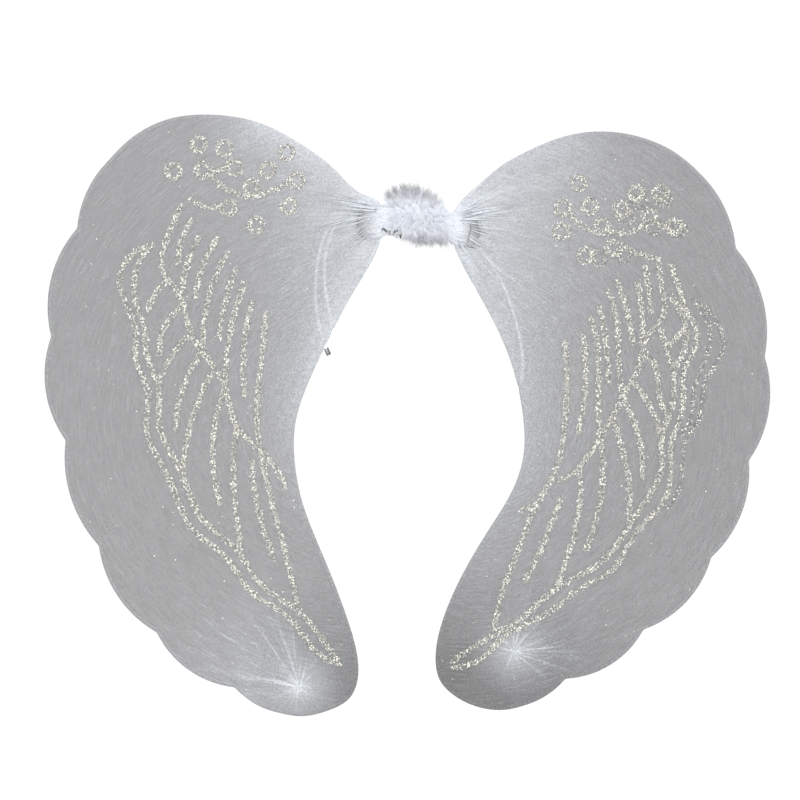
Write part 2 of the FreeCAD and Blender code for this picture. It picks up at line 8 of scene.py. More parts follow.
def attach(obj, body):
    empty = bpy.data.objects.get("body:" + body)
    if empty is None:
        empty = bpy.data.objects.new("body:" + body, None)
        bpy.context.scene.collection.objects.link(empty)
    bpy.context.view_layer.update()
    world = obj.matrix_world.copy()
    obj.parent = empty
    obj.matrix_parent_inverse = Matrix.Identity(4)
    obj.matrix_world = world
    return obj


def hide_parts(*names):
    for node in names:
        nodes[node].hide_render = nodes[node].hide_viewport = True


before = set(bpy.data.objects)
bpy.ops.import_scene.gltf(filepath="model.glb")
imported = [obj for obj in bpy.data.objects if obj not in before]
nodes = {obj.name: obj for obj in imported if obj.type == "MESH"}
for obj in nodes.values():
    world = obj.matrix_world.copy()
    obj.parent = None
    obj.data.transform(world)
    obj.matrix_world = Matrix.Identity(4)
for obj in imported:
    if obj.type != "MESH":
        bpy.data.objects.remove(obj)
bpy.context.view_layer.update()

# Fairy wings for a costume: nylon stretched over bent wire, glitter-glue feathers, a marabou puff
# and two elastic arm loops. Metres, in the CAD model's frame: X to the right wing, Z up, and the
# decorated face towards -Y.

MM = 0.001
scene = bpy.context.scene
scene.view_settings.view_transform = "Standard"

# ---------------------------------------------------------------- camera

camera_data = bpy.data.cameras.new("camera")
camera_data.lens = 130
camera_data.sensor_width = 36
camera = bpy.data.objects.new("camera", camera_data)
camera.location = (-0.0125, -2.0, -0.126)
camera.rotation_euler = (math.radians(90), 0, 0)
scene.collection.objects.link(camera)
scene.camera = camera

# ---------------------------------------------------------------- elastic arm loops

# Metres. Each loop runs from its knot down behind the wing and back up to the knot. The photo shows
# little of it, so most of each route is a guess.
ELASTIC = 0.0022
LOOPS = {
    "left": [(-0.009, 0.0095, 0.002), (-0.029, 0.0125, 0.011), (-0.051, 0.015, 0.011),
             (-0.067, 0.016, -0.011), (-0.0725, 0.015, -0.046), (-0.0695, 0.017, -0.076),
             (-0.060, 0.027, -0.101), (-0.0565, 0.045, -0.098), (-0.061, 0.052, -0.072),
             (-0.067, 0.047, -0.041), (-0.064, 0.038, -0.013), (-0.050, 0.029, 0.010),
             (-0.028, 0.0185, 0.012), (-0.0085, 0.0105, 0.0025)],
    "right": [(0.009, 0.0095, -0.001), (0.025, 0.0125, -0.008), (0.043, 0.015, -0.018),
              (0.061, 0.016, -0.046), (0.072, 0.017, -0.082), (0.0745, 0.021, -0.109),
              (0.066, 0.031, -0.127), (0.051, 0.039, -0.124), (0.0425, 0.042, -0.096),
              (0.041, 0.038, -0.060), (0.038, 0.029, -0.030), (0.024, 0.018, -0.009),
              (0.0085, 0.0105, -0.0015)],
}


def elastic_curve(name, route):
    """One smooth tube of elastic along a route."""
    curve = bpy.data.curves.new(name, "CURVE")
    curve.dimensions = "3D"
    curve.resolution_u = 16
    curve.bevel_depth = ELASTIC / 2
    curve.bevel_resolution = 4
    curve.use_fill_caps = True
    spline = curve.splines.new("NURBS")
    spline.points.add(len(route) - 1)
    for point, place in zip(spline.points, route):
        point.co = (*place, 1)
    spline.order_u = 3
    spline.use_endpoint_u = True
    loop = bpy.data.objects.new(name, curve)
    scene.collection.objects.link(loop)
    return loop


def curve_points(route):
    """Points along a route's smooth line, for pieces that lie on the cord."""
    bare = elastic_curve("route_reader", route)
    bare.data.bevel_depth = 0
    bare.data.use_fill_caps = False
    mesh = bpy.data.meshes.new_from_object(bare)
    points = np.array([v.co for v in mesh.vertices])
    bpy.data.objects.remove(bare)
    bpy.data.meshes.remove(mesh)
    return points


elastics = {}
for hand, route in LOOPS.items():
    elastics[hand] = elastic_curve(hand + "_elastic", route)

# ---------------------------------------------------------------- materials


class Shade:
    """A procedural material under construction."""

    def __init__(self, name):
        self.material = bpy.data.materials.new(name)
        self.material.use_nodes = True
        self.tree = self.material.node_tree
        self.body = self.tree.nodes["Principled BSDF"]

    def node(self, kind, **settings):
        made = self.tree.nodes.new("ShaderNode" + kind)
        for key, value in settings.items():
            setattr(made, key, value)
        return made

    def link(self, out, into):
        self.tree.links.new(out, into)

    def value(self, socket, item):
        if isinstance(item, bpy.types.NodeSocket):
            self.link(item, socket)
        else:
            socket.default_value = item

    def feed(self, made, **inputs):
        for key, item in inputs.items():
            self.value(made.inputs[key.replace("_", " ")], item)
        return made

    def set(self, **inputs):
        self.feed(self.body, **inputs)
        return self

    def attribute(self, name, output="Fac"):
        return self.node("Attribute", attribute_name=name).outputs[output]

    def place(self):
        return self.node("TexCoord").outputs["Object"]

    def stretch(self, vector, scale):
        return self.feed(self.node("Mapping"), Vector=vector, Scale=scale).outputs["Vector"]

    def noise(self, vector, scale, detail=3.0, rough=0.55):
        return self.feed(self.node("TexNoise"), Vector=vector, Scale=scale, Detail=detail,
                         Roughness=rough).outputs["Fac"]

    def bands(self, direction, scale, distortion):
        wave = self.node("TexWave", wave_type="BANDS", bands_direction=direction)
        return self.feed(wave, Vector=self.place(), Scale=scale,
                         Distortion=distortion).outputs["Fac"]

    def math(self, operation, first, second, clamp=False):
        step = self.node("Math", operation=operation, use_clamp=clamp)
        self.value(step.inputs[0], first)
        self.value(step.inputs[1], second)
        return step.outputs[0]

    def times(self, first, second, clamp=False):
        return self.math("MULTIPLY", first, second, clamp)

    def plus(self, first, second, clamp=False):
        return self.math("ADD", first, second, clamp)

    def span(self, item, low, high, to_low=0.0, to_high=1.0):
        return self.feed(self.node("MapRange"), Value=item, From_Min=low, From_Max=high,
                         To_Min=to_low, To_Max=to_high).outputs["Result"]

    def mix(self, share, first, second, blend="MIX"):
        step = self.node("Mix", data_type="RGBA", blend_type=blend)
        self.value(step.inputs["Factor"], share)
        self.value(step.inputs[6], first)
        self.value(step.inputs[7], second)
        return step.outputs[2]

    def bump(self, height, strength, distance):
        step = self.feed(self.node("Bump"), Strength=strength, Distance=distance, Height=height)
        return self.set(Normal=step.outputs["Normal"])


def nylon_material(name, thin):
    """Sheer stocking nylon: see-through where it is stretched, white where it is bunched.

    Bunching and painted light whiten it, painted shade darkens it, and the rays are its folds.
    """
    shade = Shade(name)
    fibre = shade.attribute("fibre", "Vector")
    bunch_and_painted_light = shade.attribute("bunch_and_painted_light")
    painted_shade = shade.attribute("painted_shade")
    streak = shade.noise(fibre, 1.0, 4.0, 0.6)
    grain = shade.noise(shade.place(), 1300.0, 2.0)
    ray_field = shade.noise(shade.attribute("neck_rays", "Vector"), 1.0, 3.0, 0.6)
    star_field = shade.noise(shade.attribute("star_rays", "Vector"), 1.0, 3.0, 0.6)
    neck_ray = shade.times(shade.span(ray_field, 0.52, 0.72), shade.attribute("neck_pull"))
    star_ray = shade.times(shade.span(star_field, 0.5, 0.66), shade.attribute("star_pull"))
    rays = shade.plus(neck_ray, star_ray)
    fine = shade.times(shade.math("SUBTRACT", streak, 0.5), shade.span(bunch_and_painted_light, 0.0, 0.3, 1.9, 0.8))
    speckle = shade.times(shade.math("SUBTRACT", grain, 0.5), 1.6)
    texture = shade.plus(fine, speckle)
    # Whiteness from bunching, folds and painted light.
    whiteness = shade.plus(bunch_and_painted_light, shade.times(rays, 0.55), clamp=True)
    # Painted shade darkens the cloth here, and further down makes it a little more opaque.
    shadow = shade.mix(painted_shade, (0.158, 0.160, 0.168, 1), (0.095, 0.096, 0.099, 1))
    cloth = shade.mix(whiteness, shadow, (0.70, 0.73, 0.78, 1))
    toned = shade.mix(shade.plus(texture, 0.5, clamp=True), (0.0, 0.0, 0.0, 1),
                      (1.0, 1.0, 1.0, 1))
    streaked = shade.mix(0.8, cloth, toned, "SOFT_LIGHT")
    body = shade.math("POWER", whiteness, 1.5)
    cover = shade.plus(shade.times(body, 0.97 - thin), thin)
    cover = shade.plus(cover, shade.times(painted_shade, 0.14))
    cover = shade.plus(cover, shade.times(texture, 0.22), clamp=True)
    shade.set(Base_Color=streaked, Alpha=cover, Roughness=0.55, Sheen_Weight=0.15)
    return shade.bump(streak, 0.25, 0.0003).material


def painted_wire_material():
    shade = Shade("painted_wire")
    chips = shade.noise(shade.place(), 900.0, 4.0)
    shade.set(Base_Color=shade.mix(shade.span(chips, 0.6, 0.7), (0.84, 0.85, 0.87, 1),
                                   (0.66, 0.66, 0.68, 1)),
              Roughness=shade.span(chips, 0.3, 0.7, 0.35, 0.6))
    return shade.bump(chips, 0.15, 0.0002).material


def bare_wire_material():
    shade = Shade("galvanised_wire")
    drawn = shade.noise(shade.stretch(shade.place(), (300, 2500, 2500)), 1.0, 3.0)
    shade.set(Base_Color=shade.mix(drawn, (0.42, 0.42, 0.43, 1), (0.66, 0.66, 0.67, 1)),
              Metallic=0.9, Roughness=shade.span(drawn, 0.3, 0.7, 0.22, 0.42))
    return shade.bump(drawn, 0.2, 0.0001).material


def thread_material(name, light, dark, pitch):
    """Twisted fibres: diagonal ply lines with a little fuzz."""
    shade = Shade(name)
    ply = shade.bands("DIAGONAL", pitch, 1.5)
    fuzz = shade.noise(shade.place(), 5000.0, 3.0)
    height = shade.plus(ply, fuzz)
    shade.set(Base_Color=shade.mix(shade.span(height, 0.5, 1.6), dark, light), Roughness=0.7)
    return shade.bump(height, 0.4, 0.0002).material


def elastic_material():
    """Braided white elastic: crossing wefts over a rubber core.

    Real elastic gives off no light. The front-facing side does here, at a strength fitted to the
    photo, so that it shows through two layers of nylon.
    """
    shade = Shade("braided_elastic")
    braid = shade.math("MAXIMUM", shade.bands("X", 420, 1.0), shade.bands("Z", 420, 1.0))
    normal = shade.feed(shade.node("SeparateXYZ"),
                        Vector=shade.node("TexCoord").outputs["Normal"])
    front = shade.span(normal.outputs["Y"], 0.0, -0.5)
    shade.set(Base_Color=shade.mix(braid, (0.52, 0.55, 0.60, 1), (0.78, 0.81, 0.85, 1)),
              Roughness=0.6, Emission_Color=(0.9, 0.95, 1.0, 1),
              Emission_Strength=shade.times(front, shade.span(braid, 0.0, 1.0, 0.9, 1.9)))
    return shade.bump(braid, 0.5, 0.0003).material


def glue_material():
    """Dried glitter glue: milky, mostly clear, with grains caught in it."""
    shade = Shade("dried_glue")
    grains = shade.feed(shade.node("TexVoronoi"), Vector=shade.place(), Scale=1500)
    cells = shade.feed(shade.node("SeparateColor"), Color=grains.outputs["Color"])
    speck = cells.outputs["Red"]
    cloud = shade.noise(shade.place(), 300.0, 3.0)
    shade.set(Base_Color=shade.mix(speck, (0.16, 0.16, 0.155, 1), (0.45, 0.44, 0.40, 1)),
              Alpha=shade.plus(shade.times(speck, 0.2), 0.02),
              Roughness=shade.span(cloud, 0.3, 0.7, 0.2, 0.5))
    return shade.bump(shade.plus(speck, cloud), 0.5, 0.0004).material


def flake_material(name, dim):
    """Silver-cream glitter: each flake has its own tone.

    The flakes with the highest tone give off light at a fitted strength, in place of a real glint.
    """
    shade = Shade(name)
    tone = shade.attribute("tone")
    ripple = shade.noise(shade.place(), 4000.0, 2.0)
    pale = shade.mix(shade.math("POWER", tone, 0.8), (0.13 * dim, 0.127 * dim, 0.11 * dim, 1),
                     (0.98 * dim, 0.96 * dim, 0.84 * dim, 1))
    glint = shade.times(shade.math("GREATER_THAN", tone, 0.8), 0.6 * dim)
    shade.set(Base_Color=pale, Metallic=shade.span(tone, 0.0, 1.0, 0.85, 0.45),
              Roughness=shade.span(ripple, 0.3, 0.7, 0.18, 0.4),
              Emission_Color=(1.0, 0.99, 0.94, 1), Emission_Strength=glint)
    return shade.material


def feather_material(name, root, tip):
    """Marabou down: white at the quill, with painted shade that greys the barb tips.

    Real down gives off no light. The barbs do here, at a strength fitted to the photo, in place of
    the light that scatters through loose down.
    """
    shade = Shade(name)
    along = shade.attribute("along")
    tone = shade.attribute("tone")
    vane = shade.noise(shade.place(), 700.0, 4.0)
    # The share of painted shade, growing towards the barb tips.
    outer = shade.times(shade.math("POWER", along, 1.2), shade.plus(tone, 0.03), clamp=True)
    colour = shade.mix(outer, root, tip)
    dusted = shade.mix(shade.span(vane, 0.45, 0.8, 0.0, 0.3), colour, (0.70, 0.71, 0.75, 1))
    shade.set(Base_Color=dusted, Roughness=0.85, Emission_Color=dusted,
              Emission_Strength=shade.span(along, 0.0, 0.25, 0.0, 0.17), Sheen_Weight=0.3)
    return shade.bump(vane, 0.2, 0.0001).material


def tape_material():
    shade = Shade("floral_tape")
    crepe = shade.noise(shade.stretch(shade.place(), (2200, 500, 500)), 1.0, 4.0)
    shade.set(Base_Color=shade.mix(crepe, (0.62, 0.63, 0.65, 1), (0.86, 0.86, 0.87, 1)),
              Roughness=0.75)
    return shade.bump(crepe, 0.5, 0.0003).material


def backdrop_material():
    shade = Shade("studio_paper")
    tooth = shade.noise(shade.place(), 60.0, 3.0)
    shade.set(Base_Color=shade.mix(tooth, (0.93, 0.93, 0.93, 1), (0.95, 0.95, 0.95, 1)),
              Roughness=0.95)
    return shade.material


MATERIALS = {
    "nylon": nylon_material("stretched_nylon", 0.55),
    "gathered_nylon": nylon_material("gathered_nylon", 0.78),
    "wire": painted_wire_material(),
    "bare_wire": bare_wire_material(),
    "thread": thread_material("sewing_thread", (0.90, 0.91, 0.94, 1), (0.62, 0.64, 0.70, 1), 900),
    "dark_thread": thread_material("dark_thread", (0.12, 0.12, 0.13, 1), (0.02, 0.02, 0.02, 1),
                                   900),
    "elastic": elastic_material(),
    "glue": glue_material(),
    "flakes": flake_material("glitter_flakes", 1.0),
    "faint_flakes": flake_material("soaked_flakes", 0.9),
    # The second colour of each down is painted shade for the barb tips.
    "down": feather_material("marabou_down", (0.88, 0.90, 0.95, 1), (0.09, 0.09, 0.095, 1)),
    # A darker copy of the down: painted shade for the core inside the puff.
    "shaded_core_down": feather_material("shaded_core_down", (0.68, 0.70, 0.75, 1), (0.13, 0.13, 0.135, 1)),
    "quill": thread_material("quill", (0.97, 0.98, 1.0, 1), (0.86, 0.88, 0.92, 1), 300),
    "tape": tape_material(),
    "tinsel": bare_wire_material(),
    "paper": backdrop_material(),
}

# ---------------------------------------------------------------- mesh helpers


def wrap(angle):
    return (angle + math.pi) % (2 * math.pi) - math.pi


def smooth(value, low, high):
    t = np.clip((value - low) / (high - low), 0, 1)
    return t * t * (3 - 2 * t)


def add_piece(name, points, faces, material, body, attributes=None, smooth_shading=True):
    """A mesh piece in row-frame metres that rides on a body."""
    mesh = bpy.data.meshes.new(name)
    mesh.from_pydata([tuple(p) for p in points], [], faces)
    for key, values in (attributes or {}).items():
        values = np.asarray(values, np.float32)
        if values.ndim == 2:
            layer = mesh.attributes.new(key, "FLOAT_VECTOR", "POINT")
            layer.data.foreach_set("vector", values.ravel())
        else:
            layer = mesh.attributes.new(key, "FLOAT", "POINT")
            layer.data.foreach_set("value", values)
    mesh.polygons.foreach_set("use_smooth", [smooth_shading] * len(mesh.polygons))
    mesh.update()
    piece = bpy.data.objects.new(name, mesh)
    scene.collection.objects.link(piece)
    mesh.materials.append(MATERIALS[material])
    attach(piece, body)
    return piece


def round_angles(count):
    return np.arange(count) * 2 * math.pi / count


def distance(gaps):
    return np.hypot(gaps[:, 0], gaps[:, 1])


def unit(vectors, axis=1, tiny=0.0):
    """The same vectors at length one. Tiny keeps a zero vector from dividing by nothing."""
    return vectors / (np.linalg.norm(vectors, axis=axis, keepdims=True) + tiny)


def tubes(paths, radii, sides=3):
    """Closed tubes along many paths at once: paths (n, k, 3), radii (n, k)."""
    count, steps, _ = paths.shape
    along = unit(np.gradient(paths, axis=1), 2, 1e-12)
    guide = np.where(np.abs(along[:, :1, 2:3]) > 0.8, [[[1.0, 0.0, 0.0]]], [[[0.0, 0.0, 1.0]]])
    across = unit(np.cross(along, guide), 2, 1e-12)
    third = np.cross(along, across)
    angles = round_angles(sides)
    ring = (across[:, :, None, :] * np.cos(angles)[None, None, :, None]
            + third[:, :, None, :] * np.sin(angles)[None, None, :, None])
    points = (paths[:, :, None, :] + ring * radii[:, :, None, None]).reshape(-1, 3)
    faces = []
    for item in range(count):
        base = item * steps * sides
        for k in range(steps - 1):
            low = base + k * sides
            high = low + sides
            for j in range(sides):
                n = (j + 1) % sides
                faces.append((low + j, low + n, high + n, high + j))
        faces.append(tuple(base + j for j in range(sides))[::-1])
        faces.append(tuple(base + (steps - 1) * sides + j for j in range(sides)))
    return points, faces


def rod(path, radius, sides):
    """One closed tube of even thickness along a path (k, 3)."""
    return tubes(path[None], np.full((1, len(path)), radius), sides)


def bezier(first, second, third, steps):
    """Many three-point curves at once: each (n, 3) to (n, steps, 3)."""
    t = np.linspace(0, 1, steps)[None, :, None]
    return (first[:, None] * (1 - t) ** 2 + second[:, None] * 2 * t * (1 - t)
            + third[:, None] * t ** 2)


def helix(centre, winding, steps_a_turn=18, sides=8, start=0.0, axis="x"):
    """A coil of round wire about an axis along X or Y, with its length centred on a place in mm."""
    radius, length, turns, wire = winding
    radius, length, wire = radius * MM, length * MM, wire * MM
    count = max(int(turns * steps_a_turn), 8)
    t = np.linspace(0, 1, count)
    angle = start + t * turns * 2 * math.pi
    run = (t - 0.5) * length
    if axis == "x":
        path = np.stack([run, radius * np.cos(angle), radius * np.sin(angle)], 1)
    else:
        path = np.stack([radius * np.cos(angle), run, radius * np.sin(angle)], 1)
    return rod(path + np.asarray(centre) * MM, wire, sides)


def gather_parts(parts):
    """Several (points, faces) meshes as one."""
    points = []
    faces = []
    offset = 0
    for part_points, part_faces in parts:
        points.append(part_points)
        faces += [tuple(i + offset for i in face) for face in part_faces]
        offset += len(part_points)
    return np.concatenate(points), faces


def skin(rows, around, turned=False):
    """Faces over a run of rings, with a cap on each end."""
    faces = []
    for a in range(0, (rows - 1) * around, around):
        for j in range(around):
            n = (j + 1) % around
            quad = (a + j, a + n, a + around + n, a + around + j)
            faces.append(quad[:1] + quad[:0:-1] if turned else quad)
    faces.append(tuple(range(around)))
    faces.append(tuple(range((rows - 1) * around, rows * around))[::-1])
    return faces


def read_at(t, knots, path):
    """Places along a path of points, read off between its knots."""
    return np.stack([np.interp(t, knots, path[:, k]) for k in range(3)], 1)


def add_gathered(hand, name, points, faces, grain, cover):
    """A piece of bunched nylon on a wing, its threads along the grain."""
    zeros = np.zeros(len(points))
    return add_piece(hand + name, points, faces, "gathered_nylon",
                     hand + "_wing",
                     {"fibre": grain, "bunch_and_painted_light": cover, "painted_shade": zeros, "neck_pull": zeros,
                      "star_pull": zeros, "neck_rays": grain, "star_rays": grain})


# ---------------------------------------------------------------- nylon wings

# Millimetres. Neck and knot are where the nylon is drawn together, and about is the centre of its
# streaks. Pull is the way the toe's long folds run. Glow is a pale inner edge of painted light:
# strength, fade, and the heights where it starts and is full. Haze is painted light in a pale
# cloud beside the toe. Shade_from is where the painted shade of the toe starts, measured from the
# knot towards the hub, and the key after it sets painted shade over the whole wing away from the
# neck. Fan is the range of the neck folds' bearings. Glow, haze and both shades were fitted to
# the one photo, so some of its light is in them.
WINGS = {
    "left": {"side": -1, "neck": (-17.2, 3.0), "knot": (-82.0, -325.0), "about": (-45.0, -135.0),
             "seed": 11, "pull": (-0.82, 0.57), "glow": (0.55, 17.0, -240, -70), "haze": 0.17,
             "shade_from": -40, "painted_wing_shade": 0.0, "fan": (-0.95, 0.46)},
    "right": {"side": 1, "neck": (17.2, -2.0), "knot": (66.0, -300.0), "about": (35.0, -135.0),
              "seed": 23, "pull": (0.75, 0.45), "glow": (0.36, 27.0, -300, -110), "haze": 0.05,
              "shade_from": -115, "painted_wing_shade": 0.16, "fan": (-0.95, 0.64)},
}
RIM_RADIUS = 1.25
RIM_STEP = 1.25
COARSE = 2.3
FINE = 0.95
NECK_REACH = 48.0
STAR_REACH = 22.0
RIM_ARC = 7
NECK_PLEATS = {"reach": 30.0, "count": 90, "spread": 0.05}
STAR_PLEATS = {"reach": 9.0, "count": 46, "spread": 0.09}
SAG = 0.25
DIMPLE = 1.1


def rim_loop(node):
    """The wing's outer edge in order, in millimetres, from the flat front of the CAD stocking."""
    mesh = node.data
    places = np.array([v.co for v in mesh.vertices]) / MM
    front = places[:, 1].min() + 0.01
    used = {}
    for face in mesh.polygons:
        corners = [tuple(np.round(places[i], 4)) for i in face.vertices]
        if max(c[1] for c in corners) > front:
            continue
        for a, b in zip(corners, corners[1:] + corners[:1]):
            key = frozenset((a, b))
            used[key] = used.get(key, 0) + 1
    follow = {}
    for key, count in used.items():
        if count == 1:
            a, b = tuple(key)
            follow.setdefault(a, []).append(b)
            follow.setdefault(b, []).append(a)
    first = min(follow)
    loop = [first]
    before = None
    here = first
    while True:
        options = [p for p in follow[here] if p != before]
        before, here = here, options[0]
        if here == first:
            break
        loop.append(here)
    return np.array([(p[0], p[2]) for p in loop])


def even_loop(loop, step):
    """The same closed outline with its points a step apart."""
    closed = np.vstack([loop, loop[:1]])
    lengths = np.linalg.norm(np.diff(closed, axis=0), axis=1)
    place = np.concatenate([[0], np.cumsum(lengths)])
    count = int(place[-1] / step)
    wanted = np.arange(count) * place[-1] / count
    return np.stack([np.interp(wanted, place, closed[:, k]) for k in (0, 1)], 1)


def signed_area(loop):
    nxt = np.roll(loop, -1, axis=0)
    return 0.5 * np.sum(loop[:, 0] * nxt[:, 1] - nxt[:, 0] * loop[:, 1])


def outward(loop):
    """Unit directions out of a closed outline that runs anticlockwise."""
    ahead = unit(np.roll(loop, -1, axis=0) - np.roll(loop, 1, axis=0))
    return np.stack([ahead[:, 1], -ahead[:, 0]], 1)


def inside(points, loop):
    """Which flat points lie inside a closed outline."""
    nxt = np.roll(loop, -1, axis=0)
    result = np.zeros(len(points), bool)
    for start in range(0, len(points), 2000):
        p = points[start:start + 2000, None, :]
        crosses = (loop[None, :, 1] > p[:, :, 1]) != (nxt[None, :, 1] > p[:, :, 1])
        slope = (nxt[:, 0] - loop[:, 0]) / (nxt[:, 1] - loop[:, 1] + 1e-12)
        at = loop[None, :, 0] + (p[:, :, 1] - loop[None, :, 1]) * slope[None]
        result[start:start + 2000] = (np.sum(crosses & (p[:, :, 0] < at), axis=1) % 2) == 1
    return result


def lattice(low, high, pitch, rng):
    """Points in a slightly shaken triangular grid."""
    rows = np.arange(low[1], high[1], pitch * 0.866)
    columns = np.arange(low[0], high[0], pitch)
    x, z = np.meshgrid(columns, rows)
    x = x + (np.arange(len(rows)) % 2)[:, None] * pitch / 2
    points = np.stack([x.ravel(), z.ravel()], 1)
    return points + rng.uniform(-0.15, 0.15, points.shape) * pitch


def pleats(dx, dz, reach, count, seed, spread):
    """Heights of many fine folds that run out from one point, each with its own reach."""
    rng = np.random.default_rng(seed)
    angle = np.arctan2(dz, dx)
    radius = np.hypot(dx, dz)
    total = np.zeros(len(dx))
    for _ in range(count):
        centre = rng.uniform(-math.pi, math.pi)
        width = rng.uniform(0.35, 1.0) * spread
        height = rng.uniform(0.3, 1.0)
        length = reach * rng.uniform(0.4, 1.4)
        off = wrap(angle - centre - 0.1 * np.sin(radius / reach + centre))
        total = np.maximum(total, height * np.exp(-(off / width) ** 2) * np.exp(-radius / length))
    return total


def nearest(points, others):
    """Distance from each flat point to the nearest of the others."""
    found = np.empty(len(points))
    for start in range(0, len(points), 4000):
        gaps = points[start:start + 4000, None, :] - others[None]
        found[start:start + 4000] = np.sqrt((gaps ** 2).sum(2).min(1))
    return found


def star_reach(way, radius, pull):
    """How far the toe's folds show: a little all round, and further towards the pull."""
    toward = np.clip(way @ np.array(pull), 0, 1) ** 1.4
    return 1.5 * np.exp(-radius / (6 + 25 * toward))


def nylon_bag(hand, wing):
    """Two stretched layers of stocking, joined round the wire, with pleats at neck and tip."""
    rng = np.random.default_rng(wing["seed"])
    loop = even_loop(rim_loop(nodes[hand + "_stocking"]), RIM_STEP)
    if signed_area(loop) < 0:
        loop = loop[::-1]
    normal = outward(loop)
    inner = loop - normal * RIM_RADIUS
    neck = np.array(wing["neck"])
    knot = np.array(wing["knot"])

    low = inner.min(0)
    high = inner.max(0)
    coarse = lattice(low, high, COARSE, rng)
    fine = lattice(low, high, FINE, rng)

    def near(points):
        close_neck = np.linalg.norm(points - neck, axis=1) < NECK_REACH
        close_knot = np.linalg.norm(points - knot, axis=1) < STAR_REACH
        return close_neck | close_knot

    picks = np.vstack([coarse[~near(coarse)], fine[near(fine)]])
    picks = picks[inside(picks, inner)]
    tree = kdtree.KDTree(len(inner))
    for index, place in enumerate(inner):
        tree.insert((*place, 0), index)
    tree.balance()
    edge_gap = np.array([tree.find((*p, 0))[2] for p in picks])
    picks = picks[edge_gap > 0.75]
    edge_gap = edge_gap[edge_gap > 0.75]

    rim = len(inner)
    flat_points = np.vstack([inner, picks])
    edges = [(k, (k + 1) % rim) for k in range(rim)]
    made = geometry.delaunay_2d_cdt([tuple(p) for p in flat_points], edges, [], 1, 1e-5)
    places = np.array(made[0])
    triangles = [tuple(t) for t in made[2]]
    source = [s[0] if s else -1 for s in made[3]]
    spot = {}
    for index, origin in enumerate(source):
        if 0 <= origin < rim:
            spot[origin] = index
    gap = np.array([edge_gap[s - rim] if s >= rim else 0.0 for s in source])
    hub_side = inner[(normal[:, 0] * wing["side"] < -0.3) & (inner[:, 1] > -235)]

    flat_count = len(places)
    from_neck = places - neck
    from_knot = places - knot
    rise = {}
    for layer, sign in (("front", -1), ("back", 1)):
        seed = wing["seed"] + (0 if sign < 0 else 5)
        ease = smooth(gap, 0, 4)
        fan = pleats(from_neck[:, 0], from_neck[:, 1], seed=seed, **NECK_PLEATS)
        star = pleats(from_knot[:, 0], from_knot[:, 1], seed=seed + 1, **STAR_PLEATS)
        sag = SAG * smooth(gap, 2, 30)
        dimple = DIMPLE * np.exp(-(distance(from_knot) / 4.0) ** 2)
        height = RIM_RADIUS - sag + ease * (1.0 * fan + 0.7 * star)
        if sign < 0:
            height = height - dimple
        rise[layer] = (sign * height, fan, star)

    points = [np.stack([places[:, 0], rise[layer][0], places[:, 1]], 1)
              for layer in ("front", "back")]
    faces = triangles + [tuple(i + flat_count for i in t[::-1]) for t in triangles]

    arc = []
    for step in range(1, RIM_ARC):
        angle = math.pi * step / RIM_ARC
        out = RIM_RADIUS * math.sin(angle)
        level = -RIM_RADIUS * math.cos(angle)
        ring = inner + normal * out
        arc.append(np.stack([ring[:, 0], np.full(rim, level), ring[:, 1]], 1))
    arc_start = 2 * flat_count
    rows = [[spot[k] for k in range(rim)]]
    for step in range(RIM_ARC - 1):
        rows.append([arc_start + step * rim + k for k in range(rim)])
    rows.append([flat_count + spot[k] for k in range(rim)])
    for first, second in zip(rows, rows[1:]):
        for k in range(rim):
            n = (k + 1) % rim
            faces.append((first[k], second[k], second[n], first[n]))
    points = np.vstack(points + arc)

    flat = points[:, [0, 2]]
    about = np.array(wing["about"])
    round_centre = flat - about
    radius = distance(round_centre)
    bearing = np.arctan2(round_centre[:, 1], round_centre[:, 0] * wing["side"])
    layer_shift = np.where(points[:, 1] < 0, 0.0, 40.0)
    fibre = np.stack([radius * 0.85, bearing * 9.0, layer_shift], 1)

    neck_gap = flat - neck
    neck_radius = distance(neck_gap)
    knot_gap = flat - knot
    knot_radius = distance(knot_gap)
    neck_unit = neck_gap / (neck_radius[:, None] + 1e-6)
    knot_unit = knot_gap / (knot_radius[:, None] + 1e-6)
    neck_rays = np.stack([neck_unit[:, 0] * 24, neck_unit[:, 1] * 24,
                          neck_radius / 60 + layer_shift], 1)
    star_rays = np.stack([knot_unit[:, 0] * 13, knot_unit[:, 1] * 13,
                          knot_radius / 60 + layer_shift], 1)

    fan, star = [np.concatenate([rise["front"][k], rise["back"][k], np.zeros(rim * (RIM_ARC - 1))])
                 for k in (1, 2)]
    bunch_and_painted_light = 0.70 * np.exp(-(neck_radius / 60) ** 1.5) + 0.32 * np.exp(-neck_radius / 14)
    bunch_and_painted_light += 0.30 * fan * smooth(neck_radius, 2, 8) + 0.6 * star
    bunch_and_painted_light += 0.22 * np.exp(-(knot_radius / 7.5) ** 2) + 0.22 * np.exp(-knot_radius / 16)
    # Painted light: a pale inner edge by the hub, and a pale cloud beside the toe.
    glow, fade, dark_below, full_above = wing["glow"]
    bunch_and_painted_light += (glow * np.exp(-nearest(flat, hub_side) / fade)
              * smooth(flat[:, 1], dark_below, full_above)
              * (0.2 + 0.8 * smooth(neck_radius, 25, 95)))
    pulled = flat - knot - 26 * np.array(wing["pull"])
    bunch_and_painted_light += wing["haze"] * np.exp(-(distance(pulled) / 42) ** 2)
